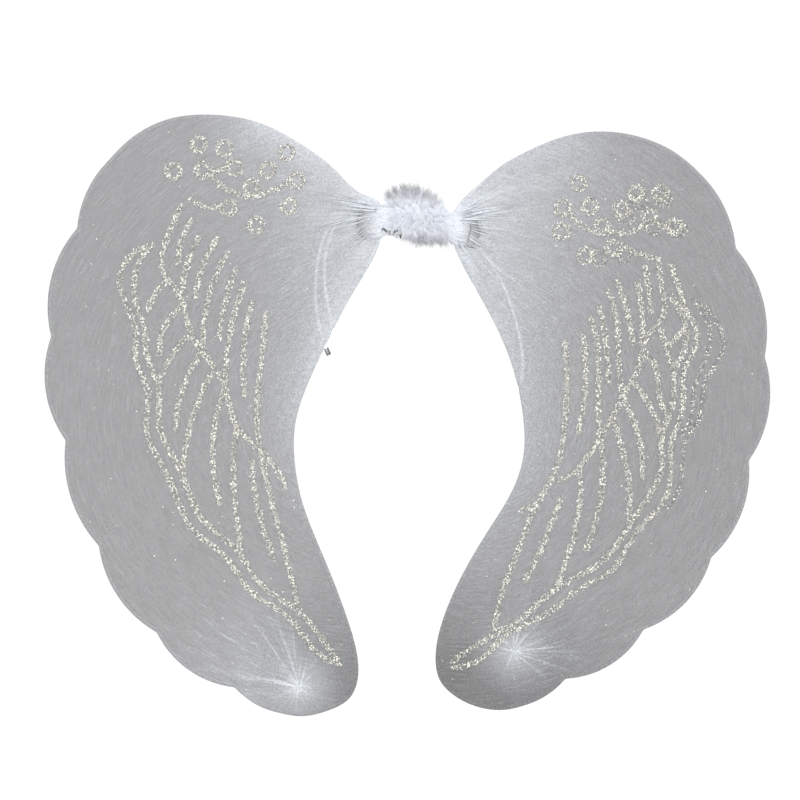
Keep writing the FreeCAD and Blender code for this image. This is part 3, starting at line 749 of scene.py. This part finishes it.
    # Painted shade: darker towards the toe, and over the whole wing away from the neck.
    hubward = -wing["side"] * knot_gap[:, 0]
    painted_shade = smooth(-flat[:, 1], 230, 335) * smooth(knot_radius, 5, 35)
    painted_shade *= smooth(hubward, wing["shade_from"], 12)
    painted_shade += wing["painted_wing_shade"] * smooth(neck_radius, 40, 160)
    rim_pale = np.concatenate([np.zeros(2 * flat_count), np.full(rim * (RIM_ARC - 1), 0.02)])
    bunch_and_painted_light = np.clip(bunch_and_painted_light + rim_pale, 0, 1)

    piece = add_piece(hand + "_nylon", points * MM, faces, "nylon", hand + "_wing",
                      {"fibre": fibre, "bunch_and_painted_light": bunch_and_painted_light, "painted_shade": painted_shade,
                       "neck_rays": neck_rays, "star_rays": star_rays,
                       "neck_pull": np.exp(-neck_radius / 42) * smooth(neck_radius, 3, 12),
                       "star_pull": star_reach(knot_unit, knot_radius, wing["pull"])})
    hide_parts(hand + "_stocking")
    return loop


# ---------------------------------------------------------------- gathers

# Distance from the hub, half height, half depth and drop of the bunched nylon at each station.
BUNCH = [(12.8, 4.5, 4.5, -0.5), (14.5, 7.2, 6.2, -1.4), (18.0, 9.0, 6.8, -3.0),
         (22.0, 10.5, 6.6, -4.4), (26.0, 11.8, 5.8, -5.4), (31.0, 12.6, 4.4, -6.0),
         (37.0, 12.8, 2.6, -6.4), (44.0, 12.0, 0.9, -6.8)]
BUNCH_RINGS = 44
BUNCH_AROUND = 220
CREASES = 46
NECK_FOLDS = 46
TOE_COVER = 0.9


def neck_bunch(hand, wing):
    """Nylon drawn together in pleats under the neck thread, both faces at once."""
    rng = np.random.default_rng(wing["seed"] + 40)
    side = wing["side"]
    stations = np.array(BUNCH)
    runs = np.linspace(stations[0, 0], stations[-1, 0], BUNCH_RINGS)
    shape = [np.interp(runs, stations[:, 0], stations[:, k]) for k in (1, 2, 3)]
    around = BUNCH_AROUND
    angle = round_angles(around)
    crease = np.zeros(around)
    for _ in range(CREASES):
        centre = rng.uniform(-math.pi, math.pi)
        crease = np.maximum(crease, rng.uniform(0.4, 1.0)
                            * np.exp(-(wrap(angle - centre) / 0.05) ** 2))
    points = []
    for run, tall, deep, drop in zip(runs, *shape):
        depth = 0.03 + 0.05 * smooth(run, 16, 26) * (1 - smooth(run, 30, 38))
        scale = 1 - depth + depth * 1.6 * np.roll(crease, int(3 * math.sin(run / 6)))
        points.append(np.stack([np.full(around, side * run), deep * scale * np.sin(angle),
                                wing["neck"][1] + drop + tall * scale * np.cos(angle)], 1))
    faces = skin(len(runs), around)
    points = np.vstack(points)
    spread = np.abs(points[:, 0])
    cover = np.clip(1.0 - smooth(spread, 24, 44) * 0.8, 0, 1)
    fibre = np.stack([np.tile(angle, len(runs)) * 30, spread * 0.05, spread * 0], 1)
    piece = add_gathered(hand, "_neck_bunch", points * MM, faces, fibre, cover)
    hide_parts(hand + "_neck_gather")


def neck_folds(hand, wing):
    """Long sharp folds that run out from the neck over both faces of the wing."""
    rng = np.random.default_rng(wing["seed"] + 60)
    side = wing["side"]
    count = NECK_FOLDS
    neck = np.array(wing["neck"])
    low, high = wing["fan"]
    bearings = rng.uniform(low, high, count)
    bearings[:count // 3] = rng.uniform(0, high, count // 3)
    starts = rng.uniform(12, 22, count)
    ends = starts + rng.uniform(12, 48, count)
    face = np.where(rng.uniform(0, 1, count) < 0.7, -1.0, 1.0)
    wander = rng.uniform(-0.05, 0.05, count)
    steps = 12
    t = np.linspace(0, 1, steps)[None]
    radius = starts[:, None] + (ends - starts)[:, None] * t
    angle = bearings[:, None] + wander[:, None] * t
    x = neck[0] + side * radius * np.cos(angle)
    z = neck[1] + radius * np.sin(angle) - 0.002 * radius ** 2
    y = face[:, None] * (1.45 + 5.2 * np.exp(-(radius / 17) ** 2))
    paths = np.stack([x, y, z], 2)
    swell = np.sin(np.clip(t * 1.1 + 0.12, 0, 1) * math.pi) ** 0.6
    thick = rng.uniform(0.16, 0.42, count)[:, None] * (0.12 + swell)
    points, faces = tubes(paths * MM, thick * MM, 5)
    fade = np.repeat((0.95 - 0.35 * np.repeat(t, count, 0)).ravel(), 5)
    grain = points / MM * 0.5
    add_gathered(hand, "_neck_folds", points, faces, grain, fade)


def tip_tuft(hand, wing):
    """The stocking's toe drawn to a knot on the back, with its cut end left as a frilled tail."""
    rng = np.random.default_rng(wing["seed"] + 80)
    profile = [(0.0, 4.6), (0.8, 3.7), (1.8, 2.6), (3.0, 1.9), (3.8, 1.75), (4.6, 2.6), (5.8, 3.0),
               (7.0, 2.4), (7.8, 1.9), (9.0, 2.5), (10.6, 3.4), (12.2, 4.3), (13.2, 4.5)]
    stations = np.array(profile)
    rises = np.linspace(0, stations[-1, 0], 40)
    base = np.interp(rises, stations[:, 0], stations[:, 1])
    around = 96
    angle = round_angles(around)
    lobes = sum(rng.uniform(0.3, 1.0) * np.cos(angle * k + rng.uniform(0, 6.28))
                for k in (7, 11, 16, 23))
    lobes /= np.abs(lobes).max()
    points = []
    for rise, radius in zip(rises, base):
        frill = 0.10 + 0.22 * smooth(rise, 7.5, 13)
        ring = radius * (1 - frill + frill * lobes)
        lift = 0.5 * lobes * smooth(rise, 10, 13)
        points.append(np.stack([wing["knot"][0] + ring * np.cos(angle), 1.3 + rise + lift,
                                wing["knot"][1] + ring * np.sin(angle)], 1))
    faces = skin(len(rises), around, turned=True)
    points = np.vstack(points)
    grain = np.stack([np.tile(angle, len(rises)) * 14, points[:, 1] * 0.1, points[:, 1] * 0], 1)
    piece = add_gathered(hand, "_toe_knot", points * MM, faces, grain,
                         np.full(len(points), TOE_COVER))
    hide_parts(hand + "_tip_tuft")


# ---------------------------------------------------------------- glitter

FLAKES_A_MM2 = 2.3
SOAKED_FLAKES_A_MM2 = 2.4
GLITTER_SCATTER = 0.00032
STRAY_FLAKES = 130
NYLON_FRONT = -0.0013
FLAKE_LOG_RADIUS = -7.95
FLAKE_LOG_SPREAD = 0.3
SMALLEST_FLAKE = 0.00018
LARGEST_FLAKE = 0.00065


def spots_on(node, count, rng, front):
    """Random places on the outer face of a glue line."""
    mesh = node.data
    mesh.calc_loop_triangles()
    places = np.array([v.co for v in mesh.vertices])
    corners = np.array([t.vertices for t in mesh.loop_triangles])
    level = places[:, 1].min() if front else places[:, 1].max()
    flat = np.abs(places[corners][:, :, 1] - level).max(1) < 0.00001
    corners = corners[flat]
    a, b, c = places[corners[:, 0]], places[corners[:, 1]], places[corners[:, 2]]
    area = np.linalg.norm(np.cross(b - a, c - a), axis=1) / 2
    picks = rng.choice(len(corners), count, p=area / area.sum())
    u = rng.uniform(0, 1, (count, 2))
    flip = u.sum(1) > 1
    u[flip] = 1 - u[flip]
    return (a[picks] + (b - a)[picks] * u[:, :1] + (c - a)[picks] * u[:, 1:]), area.sum()


def chips(places, radius, rng, toward, tilt):
    """Three-cornered flakes, each a thin closed wedge with its own tilt."""
    count = len(places)
    turn = rng.uniform(0, 2 * math.pi, count)
    normal = unit(np.stack([rng.normal(0, tilt, count), np.full(count, float(toward)),
                            rng.normal(0, tilt, count)], 1))
    across = unit(np.cross(normal, np.stack([np.cos(turn), np.zeros(count), np.sin(turn)], 1)))
    third = np.cross(normal, across)
    points = []
    for k in range(3):
        angle = k * 2 * math.pi / 3 + rng.uniform(-0.35, 0.35, count)
        points.append(places + radius[:, None] * (across * np.cos(angle)[:, None]
                                                  + third * np.sin(angle)[:, None]))
    points.append(places + normal * radius[:, None] * 0.35)
    points = np.stack(points, 1).reshape(-1, 3)
    base = np.arange(count) * 4
    faces = []
    for b in base.tolist():
        faces += [(b, b + 1, b + 3), (b + 1, b + 2, b + 3), (b + 2, b, b + 3), (b, b + 2, b + 1)]
    return points, faces


def glitter(node_name, body, seed, density, material, front=True, shows_through=False):
    """Flakes over a glue line. With shows_through, half of them lie on the nylon's front face."""
    rng = np.random.default_rng(seed)
    node = nodes[node_name]
    _, area = spots_on(node, 10, rng, front)
    count = int(area * 1e6 * density)
    places, _ = spots_on(node, count, rng, front)
    places[:, 0] += rng.normal(0, GLITTER_SCATTER, count)
    places[:, 2] += rng.normal(0, GLITTER_SCATTER, count)
    toward = -1 if front else 1
    places[:, 1] += toward * rng.uniform(-0.00002, 0.0002, count)
    if shows_through:
        places[:count // 2, 1] = NYLON_FRONT
    radius = np.clip(rng.lognormal(FLAKE_LOG_RADIUS, FLAKE_LOG_SPREAD, count),
                     SMALLEST_FLAKE, LARGEST_FLAKE)
    points, faces = chips(places, radius, rng, toward, 0.35)
    tone = np.repeat(rng.beta(0.5, 0.45, count), 4)
    add_piece(node_name + "_flakes", points, faces, material, body,
              {"tone": tone}, smooth_shading=False)


def stray_flakes(hand, loop, seed, count):
    """Single flakes that fell on the nylon away from the glue."""
    rng = np.random.default_rng(seed)
    low = loop.min(0)
    high = loop.max(0)
    spots = rng.uniform(low, high, (count * 3, 2))
    spots = spots[inside(spots, loop * 0.97 + loop.mean(0) * 0.03)][:count]
    places = np.stack([spots[:, 0], np.full(len(spots), -1.28), spots[:, 1]], 1) * MM
    radius = rng.uniform(0.00022, 0.0005, len(spots))
    points, faces = chips(places, radius, rng, -1, 0.3)
    tone = np.repeat(rng.uniform(0.5, 1, len(spots)), 4)
    add_piece(hand + "_stray_flakes", points, faces, "flakes", hand + "_wing",
              {"tone": tone}, smooth_shading=False)


# ---------------------------------------------------------------- marabou puff

# The puff's outline over and under the hub at stations from left to right, and its white core.
PUFF_RUN = [-27, -22, -15, -8, 0, 7, 12, 17, 22, 26]
PUFF_TOP = [10, 20, 23.5, 24.5, 24, 22, 18, 10, 4, 0]
PUFF_LOW = [-7, -10, -12.5, -16.5, -20.5, -20, -19, -20, -20, -17]
CORE = [(-17.0, 3.0, 6.5, 5.0), (-15.0, 3.2, 9.0, 7.0), (-9.0, 3.5, 12.5, 9.5),
        (0.0, 2.2, 13.0, 10.5), (8.0, -0.5, 12.0, 9.5), (14.5, -3.2, 9.5, 7.2),
        (17.0, -3.6, 6.5, 5.0)]
BARB_STEPS = 4
QUILL_STEPS = 6
PLUMES_A_LAYER = 250
BARBS_A_PLUME = 32
BARB_LENGTHS = (2.5, 5.5)
BARB_RADII = (0.06, 0.11)
QUILL_RADII = (0.16, 0.06)
PUFF_LAYERS = [("plume_inner", 301), ("plume_middle", 302), ("plume_outer", 303),
               ("plume_stray", 304)]


def down_core():
    """The down at the middle of the puff, in a darker copy of the down as painted shade."""
    stations = np.array(CORE)
    runs = np.linspace(stations[0, 0], stations[-1, 0], 90)
    rise, tall, deep = [np.interp(runs, stations[:, 0], stations[:, k]) for k in (1, 2, 3)]
    around = 200
    angle = round_angles(around)
    run = runs[:, None]
    lump = (0.05 * np.sin(0.7 * run + 3 * angle) + 0.04 * np.sin(1.5 * run - 5 * angle + 1)
            + 0.03 * np.sin(2.9 * run + 11 * angle) + 0.025 * np.sin(5.1 * run - 17 * angle + 2)
            + 0.02 * np.sin(8.3 * run + 29 * angle))
    x = run + 0.4 * np.sin(9 * angle + run)
    y = -1.6 + deep[:, None] * (1 + lump) * np.sin(angle)
    z = rise[:, None] + tall[:, None] * (1 + lump) * np.cos(angle)
    points = np.stack([x, y, z], 2).reshape(-1, 3)
    faces = skin(len(runs), around)
    zeros = np.zeros(len(points))
    add_piece("down_core", points * MM, faces, "shaded_core_down", "hub",
              {"along": zeros, "tone": zeros})


def plumes(name, seed, plume_count, barbs_each):
    """Down feathers tied round the hub: fine quills with soft barbs that fan out to the tips."""
    rng = np.random.default_rng(seed)
    run = rng.uniform(-24, 24, plume_count)
    turn = rng.uniform(0, 2 * math.pi, plume_count)
    up = np.sin(turn)
    out = np.cos(turn)
    reach = np.where(up > 0, np.interp(run, PUFF_RUN, PUFF_TOP),
                     -np.interp(run, PUFF_RUN, PUFF_LOW))
    middle = np.interp(run, [-24, 24], [3.0, -5.0])
    height = np.where(up > 0, reach - middle, reach + middle)
    tip = np.stack([run + rng.normal(0, 1.2, plume_count), -1.5 + 12.5 * out,
                    middle + height * up], 1)
    root = np.stack([run * 0.66, -1.5 + 5.5 * out, middle * 0.7 + 6.0 * up], 1)
    share = rng.uniform(0.66, 0.9, plume_count)[:, None]
    tip = root + (tip - root) * share
    bend = (root + tip) / 2 + rng.normal(0, 1.6, (plume_count, 3))
    # Painted shade: the barb tips at the top and bottom of the puff go grey.
    painted_tip_shade = np.clip(np.abs(up) ** 1.5 * rng.uniform(0.4, 1.3, plume_count), 0, 1)
    painted_tip_shade *= np.where(up > 0, smooth(tip[:, 2], 6, 15), smooth(-tip[:, 2], 9, 17))
    quills = bezier(root, bend, tip, QUILL_STEPS)
    quill_radii = np.linspace(*QUILL_RADII, QUILL_STEPS)[None].repeat(plume_count, 0)
    quill_points, quill_faces = tubes(quills * MM, quill_radii * MM, 3)

    which = np.repeat(np.arange(plume_count), barbs_each)
    t = rng.uniform(0.2, 1.0, len(which))[:, None]
    start = root[which] * (1 - t) ** 2 + bend[which] * 2 * t * (1 - t) + tip[which] * t ** 2
    along = (bend[which] - root[which]) * (1 - t) + (tip[which] - bend[which]) * t
    along = unit(along, tiny=1e-9)
    across = unit(np.cross(along, rng.normal(0, 1, (len(which), 3))), tiny=1e-9)
    length = rng.uniform(*BARB_LENGTHS, len(which))[:, None]
    middle_point = start + (along * 0.55 + across * 0.4) * length * 0.55
    end = start + (along + across * 0.35) * length * 0.9 + rng.normal(0, 0.35, (len(which), 3))
    barbs = bezier(start, middle_point, end, BARB_STEPS)
    taper = np.linspace(1, 0.3, BARB_STEPS)[None]
    radii = rng.uniform(*BARB_RADII, len(which))[:, None] * taper
    barb_points, barb_faces = tubes(barbs * MM, radii * MM, 3)

    points, faces = gather_parts([(quill_points, quill_faces), (barb_points, barb_faces)])
    quill_along = np.tile(np.repeat(np.linspace(0, 0.6, QUILL_STEPS), 3), plume_count)
    barb_step = np.linspace(0, 0.35, BARB_STEPS)[None] + 0.65 * t
    barb_along = np.repeat(barb_step.ravel(), 3)
    quill_tone = np.repeat(painted_tip_shade, QUILL_STEPS * 3)
    barb_tone = np.repeat(painted_tip_shade[which] * rng.uniform(0.7, 1.2, len(which)), BARB_STEPS * 3)
    return add_piece(name, points, faces, "down", "hub",
                     {"along": np.concatenate([quill_along, barb_along]),
                      "tone": np.concatenate([quill_tone, barb_tone])})


def white_quills():
    """A few bare quill ends that show white through the down."""
    ends = [((-12.5, -11.5, -8.0), (-10.0, -13.5, -5.0), (-7.0, -14.0, -0.5)),
            ((1.0, -12.0, -7.5), (4.0, -13.0, -5.5), (7.5, -12.5, -3.5)),
            ((-14.5, -9.5, 19.0), (-13.2, -10.5, 22.0), (-12.8, -9.5, 25.5)),
            ((9.0, -11.0, 4.5), (11.0, -11.5, 2.0), (13.5, -10.5, 1.0)),
            ((-3.5, -13.2, -9.0), (-2.5, -13.6, -11.0), (-0.5, -12.5, -14.0)),
            ((14.5, -9.0, -3.5), (16.5, -9.6, -7.0), (20.5, -8.5, -9.5))]
    sets = [np.array([e[k] for e in ends], float) for k in range(3)]
    paths = bezier(sets[0], sets[1], sets[2], 14)
    radii = (0.10 + 0.16 * np.sin(np.linspace(0.25, 3.05, 14)))[None].repeat(len(ends), 0)
    points, faces = tubes(paths * MM, radii * MM, 8)
    add_piece("white_quills", points, faces, "quill", "hub")


TINSEL_STEPS = 170
TINSEL_KNOTS = 18
TINSEL_RADIUS = 0.48


def tinsel_curl():
    """Crumpled silver and black tinsel caught under the puff's lower left edge."""
    for name, material, shift, seed in (("silver_tinsel", "tinsel", 1.0, 5),
                                        ("black_tinsel", "dark_thread", 0.0, 6)):
        rng = np.random.default_rng(seed)
        t = np.linspace(0, 1, TINSEL_STEPS)
        knots = np.linspace(0, 1, TINSEL_KNOTS)
        spread = np.stack([-25.0 + 12.5 * knots, np.full(TINSEL_KNOTS, -12.0 - shift),
                           -9.0 - 3.6 * knots], 1)
        spread += rng.uniform(-1, 1, (TINSEL_KNOTS, 3)) * np.array([2.2, 0.8, 2.5])
        path = read_at(t, knots, spread)
        for _ in range(3):
            path[1:-1] = (path[:-2] + 2 * path[1:-1] + path[2:]) / 4
        points, faces = rod(path * MM, TINSEL_RADIUS * MM, 6)
        add_piece(name, points, faces, material, "hub")


# ---------------------------------------------------------------- small parts

# Millimetres: the radius, length, number of turns and wire radius of each winding, then the
# tape's reach on each side, the run of one lap, its inner radius and its thickness.
ROOT_TWIST = (0.9, 6.6, 1.6, 0.95)
NECK_WINDING = (3.78, 1.5, 6, 0.26)
TOE_WINDING = (2.6, 1.2, 4, 0.3)
TAPE_REACH = 9.8
TAPE_LAP = 4.2
TAPE_RADIUS = 4.75
TAPE_THICKNESS = 0.25


def overhand_knot(hand, side):
    """Elastic tied round the tape: one turn and a knot on the wearer's side."""
    centre = np.array([side * 7.5, 0.0, 0.5])
    t = np.linspace(0, 2 * math.pi, 49)
    turn = np.stack([0.35 * np.sin(t * 2), 6.1 * np.cos(t), 6.1 * np.sin(t)], 1) + centre
    k = np.linspace(0, 2 * math.pi, 121)
    lump = np.stack([1.15 * (np.sin(k) + 2 * np.sin(2 * k)) * 0.62, 1.1 * -np.sin(3 * k),
                     1.15 * (np.cos(k) - 2 * np.cos(2 * k)) * 0.62], 1)
    lump = lump + centre + np.array([0, 9.1, 0])
    points, faces = gather_parts([rod(turn * MM, 1.05 * MM, 12), rod(lump * MM, 0.95 * MM, 12)])
    piece = add_piece(hand + "_overhand_knot", points, faces, "elastic", "hub")
    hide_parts(hand + "_elastic_knot")


def twisted_roots(hand, side, level):
    """The frame's two wire ends twisted round each other."""
    parts = [helix((side * 13.5, 0, level), ROOT_TWIST, sides=12, start=phase)
             for phase in (0, math.pi)]
    points, faces = gather_parts(parts)
    piece = add_piece(hand + "_twisted_ends", points, faces, "bare_wire", hand + "_root")
    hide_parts(hand + "_root_twist")


def neck_thread(hand, side, level):
    points, faces = helix((side * 18.2, 0, level), NECK_WINDING, steps_a_turn=40)
    piece = add_piece(hand + "_neck_winding", points, faces, "thread", hand + "_wing")
    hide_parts(hand + "_neck_tie")


def tip_thread(hand, wing):
    x, z = wing["knot"]
    points, faces = helix((x, 4.75, z), TOE_WINDING, steps_a_turn=32, axis="y")
    piece = add_piece(hand + "_toe_winding", points, faces, "thread", hand + "_wing")
    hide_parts(hand + "_tip_tie")


def wrapped_tape():
    """Floral tape wound along the hub in overlapping turns."""
    around = 72
    runs = np.linspace(-TAPE_REACH, TAPE_REACH, 90)
    angle = round_angles(around)
    points = []
    for run in runs:
        lap = (run / TAPE_LAP - angle / (2 * math.pi)) % 1
        radius = TAPE_RADIUS + TAPE_THICKNESS * lap
        points.append(np.stack([np.full(around, run), radius * np.cos(angle),
                                0.5 + radius * np.sin(angle)], 1))
    faces = skin(len(runs), around)
    piece = add_piece("wrapped_tape", np.vstack(points) * MM, faces, "tape", "hub")
    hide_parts("binding_tape")


WHIPPING_TOP = -0.089
WHIPPING_TURNS = 8
WHIPPING_STEPS = 260
WHIPPING_THREAD = 0.0003


def loop_whipping(hand, route):
    """Dark thread whipped round the elastic where it comes out from behind the wing."""
    line = curve_points(route)
    start = int(np.argmax(line[:, 2] < WHIPPING_TOP))
    stretch = line[start:start + 5]
    t = np.linspace(0, len(stretch) - 1, WHIPPING_STEPS)
    centre = read_at(t, np.arange(len(stretch)), stretch)
    along = unit(np.gradient(centre, axis=0))
    across = unit(np.cross(along, [0.0, 1.0, 0.0]))
    third = np.cross(along, across)
    turn = np.linspace(0, WHIPPING_TURNS * 2 * math.pi, WHIPPING_STEPS)[:, None]
    path = centre + (across * np.cos(turn) + third * np.sin(turn)) * (ELASTIC / 2 + 0.00025)
    points, faces = rod(path, WHIPPING_THREAD, 6)
    return add_piece(hand + "_loop_whipping", points, faces, "dark_thread", "hub")


def loose_thread():
    """A thread end that lies across the right neck."""
    path = np.array([(36.5, -3.6, -4.0), (36.2, -3.7, -8.0), (35.0, -3.6, -14.0),
                     (33.6, -3.0, -18.5), (35.5, -2.4, -20.4), (39.0, -1.9, -20.8)])
    t = np.linspace(0, len(path) - 1, 40)
    fine = read_at(t, np.arange(len(path)), path)
    points, faces = rod(fine * MM, 0.16 * MM, 6)
    add_piece("right_loose_thread", points, faces, "dark_thread", "right_wing")


def wire_end():
    """A little hooked wire end that pokes out by the left neck."""
    t = np.linspace(0, 1, 30)
    path = np.stack([-32.0 - 5.0 * t, -3.2 - 0.3 * np.sin(t * 3), -15.4 - 1.2 * t
                     - 0.9 * np.sin(t * 6) * t], 1)
    points, faces = rod(path * MM, 0.34 * MM, 8)
    add_piece("left_wire_end", points, faces, "bare_wire", "left_wing")


# ---------------------------------------------------------------- assembly


def dress(node_name, material):
    """A material for a CAD node that stays in view."""
    mesh = nodes[node_name].data
    mesh.materials.clear()
    mesh.materials.append(MATERIALS[material])


whippings = {"left": loop_whipping("left", LOOPS["left"])}
for hand, loop in elastics.items():
    loop.data.materials.append(MATERIALS["elastic"])
    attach(loop, "hub")
    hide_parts(hand + "_elastic_loop")

for hand, wing in WINGS.items():
    outline = nylon_bag(hand, wing)
    neck_bunch(hand, wing)
    neck_folds(hand, wing)
    tip_tuft(hand, wing)
    tip_thread(hand, wing)
    neck_thread(hand, wing["side"], wing["neck"][1])
    twisted_roots(hand, wing["side"], wing["neck"][1])
    overhand_knot(hand, wing["side"])
    dress(hand + "_frame_wire", "wire")
    for pattern in ("_glitter_feathers", "_glitter_rings"):
        dress(hand + pattern, "glue")
        glitter(hand + pattern, hand + "_wing", wing["seed"] + len(pattern), FLAKES_A_MM2,
                "flakes")
    stray_flakes(hand, outline, wing["seed"] + 7, STRAY_FLAKES)

dress("right_soaked_glitter", "glue")
glitter("right_soaked_glitter", "right_wing", 71, SOAKED_FLAKES_A_MM2, "faint_flakes",
        front=False, shows_through=True)
dress("marabou_cord", "thread")
wrapped_tape()
for puff_name, plume_seed in PUFF_LAYERS:
    puff = plumes(puff_name, plume_seed, PLUMES_A_LAYER, BARBS_A_PLUME)
    if puff_name == "plume_inner":
        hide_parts("marabou_plume")
down_core()
white_quills()
tinsel_curl()
loose_thread()
wire_end()

# ---------------------------------------------------------------- studio

FLOOR_Z = -0.75
BOWL_RADIUS = 3.6
BOWL_HEIGHT = 3.4


def bowl():
    """Seamless paper: a flat floor that curves up into a wall all the way round."""
    bend = 1.2
    profile = [(0.0, 0.0), (0.8, 0.0), (1.6, 0.0), (BOWL_RADIUS - bend, 0.0)]
    for step in range(1, 17):
        angle = math.pi / 2 * step / 16
        profile.append((BOWL_RADIUS - bend + bend * math.sin(angle), bend - bend * math.cos(angle)))
    profile.append((BOWL_RADIUS, BOWL_HEIGHT))
    around = 72
    points = [(0, 0, FLOOR_Z)]
    faces = []
    for radius, rise in profile[1:]:
        for k in range(around):
            angle = 2 * math.pi * k / around
            points.append((radius * math.cos(angle), radius * math.sin(angle), FLOOR_Z + rise))
    for k in range(around):
        faces.append((0, 1 + k, 1 + (k + 1) % around))
    for row in range(len(profile) - 2):
        for k in range(around):
            n = (k + 1) % around
            a = 1 + row * around
            faces.append((a + k, a + around + k, a + around + n, a + n))
    mesh = bpy.data.meshes.new("studio_bowl")
    mesh.from_pydata(points, [], faces)
    mesh.polygons.foreach_set("use_smooth", [True] * len(mesh.polygons))
    mesh.materials.append(MATERIALS["paper"])
    stage = bpy.data.objects.new("studio_bowl", mesh)
    scene.collection.objects.link(stage)


def area_light(name, place, aim, width, watts):
    data = bpy.data.lights.new(name, "AREA")
    data.shape = "DISK"
    data.size = width
    data.energy = watts
    light = bpy.data.objects.new(name, data)
    light.location = place
    way = np.array(aim) - np.array(place)
    yaw = math.atan2(way[0], -way[1])
    pitch = math.atan2(math.hypot(way[0], way[1]), -way[2])
    light.rotation_euler = (pitch, 0, yaw + math.pi)
    scene.collection.objects.link(light)


bowl()
world = bpy.data.worlds.new("studio_sky")
world.use_nodes = True
world.node_tree.nodes["Background"].inputs["Color"].default_value = (1.0, 1.0, 1.0, 1)
world.node_tree.nodes["Background"].inputs["Strength"].default_value = 0.9
scene.world = world
area_light("key", (-1.2, -1.9, 1.6), (0, 0, -0.1), 0.9, 28)
area_light("fill", (1.6, -1.4, 0.6), (0, 0, -0.1), 1.2, 14)
area_light("back", (0.8, 1.9, 1.4), (0, 0, -0.1), 1.4, 22)
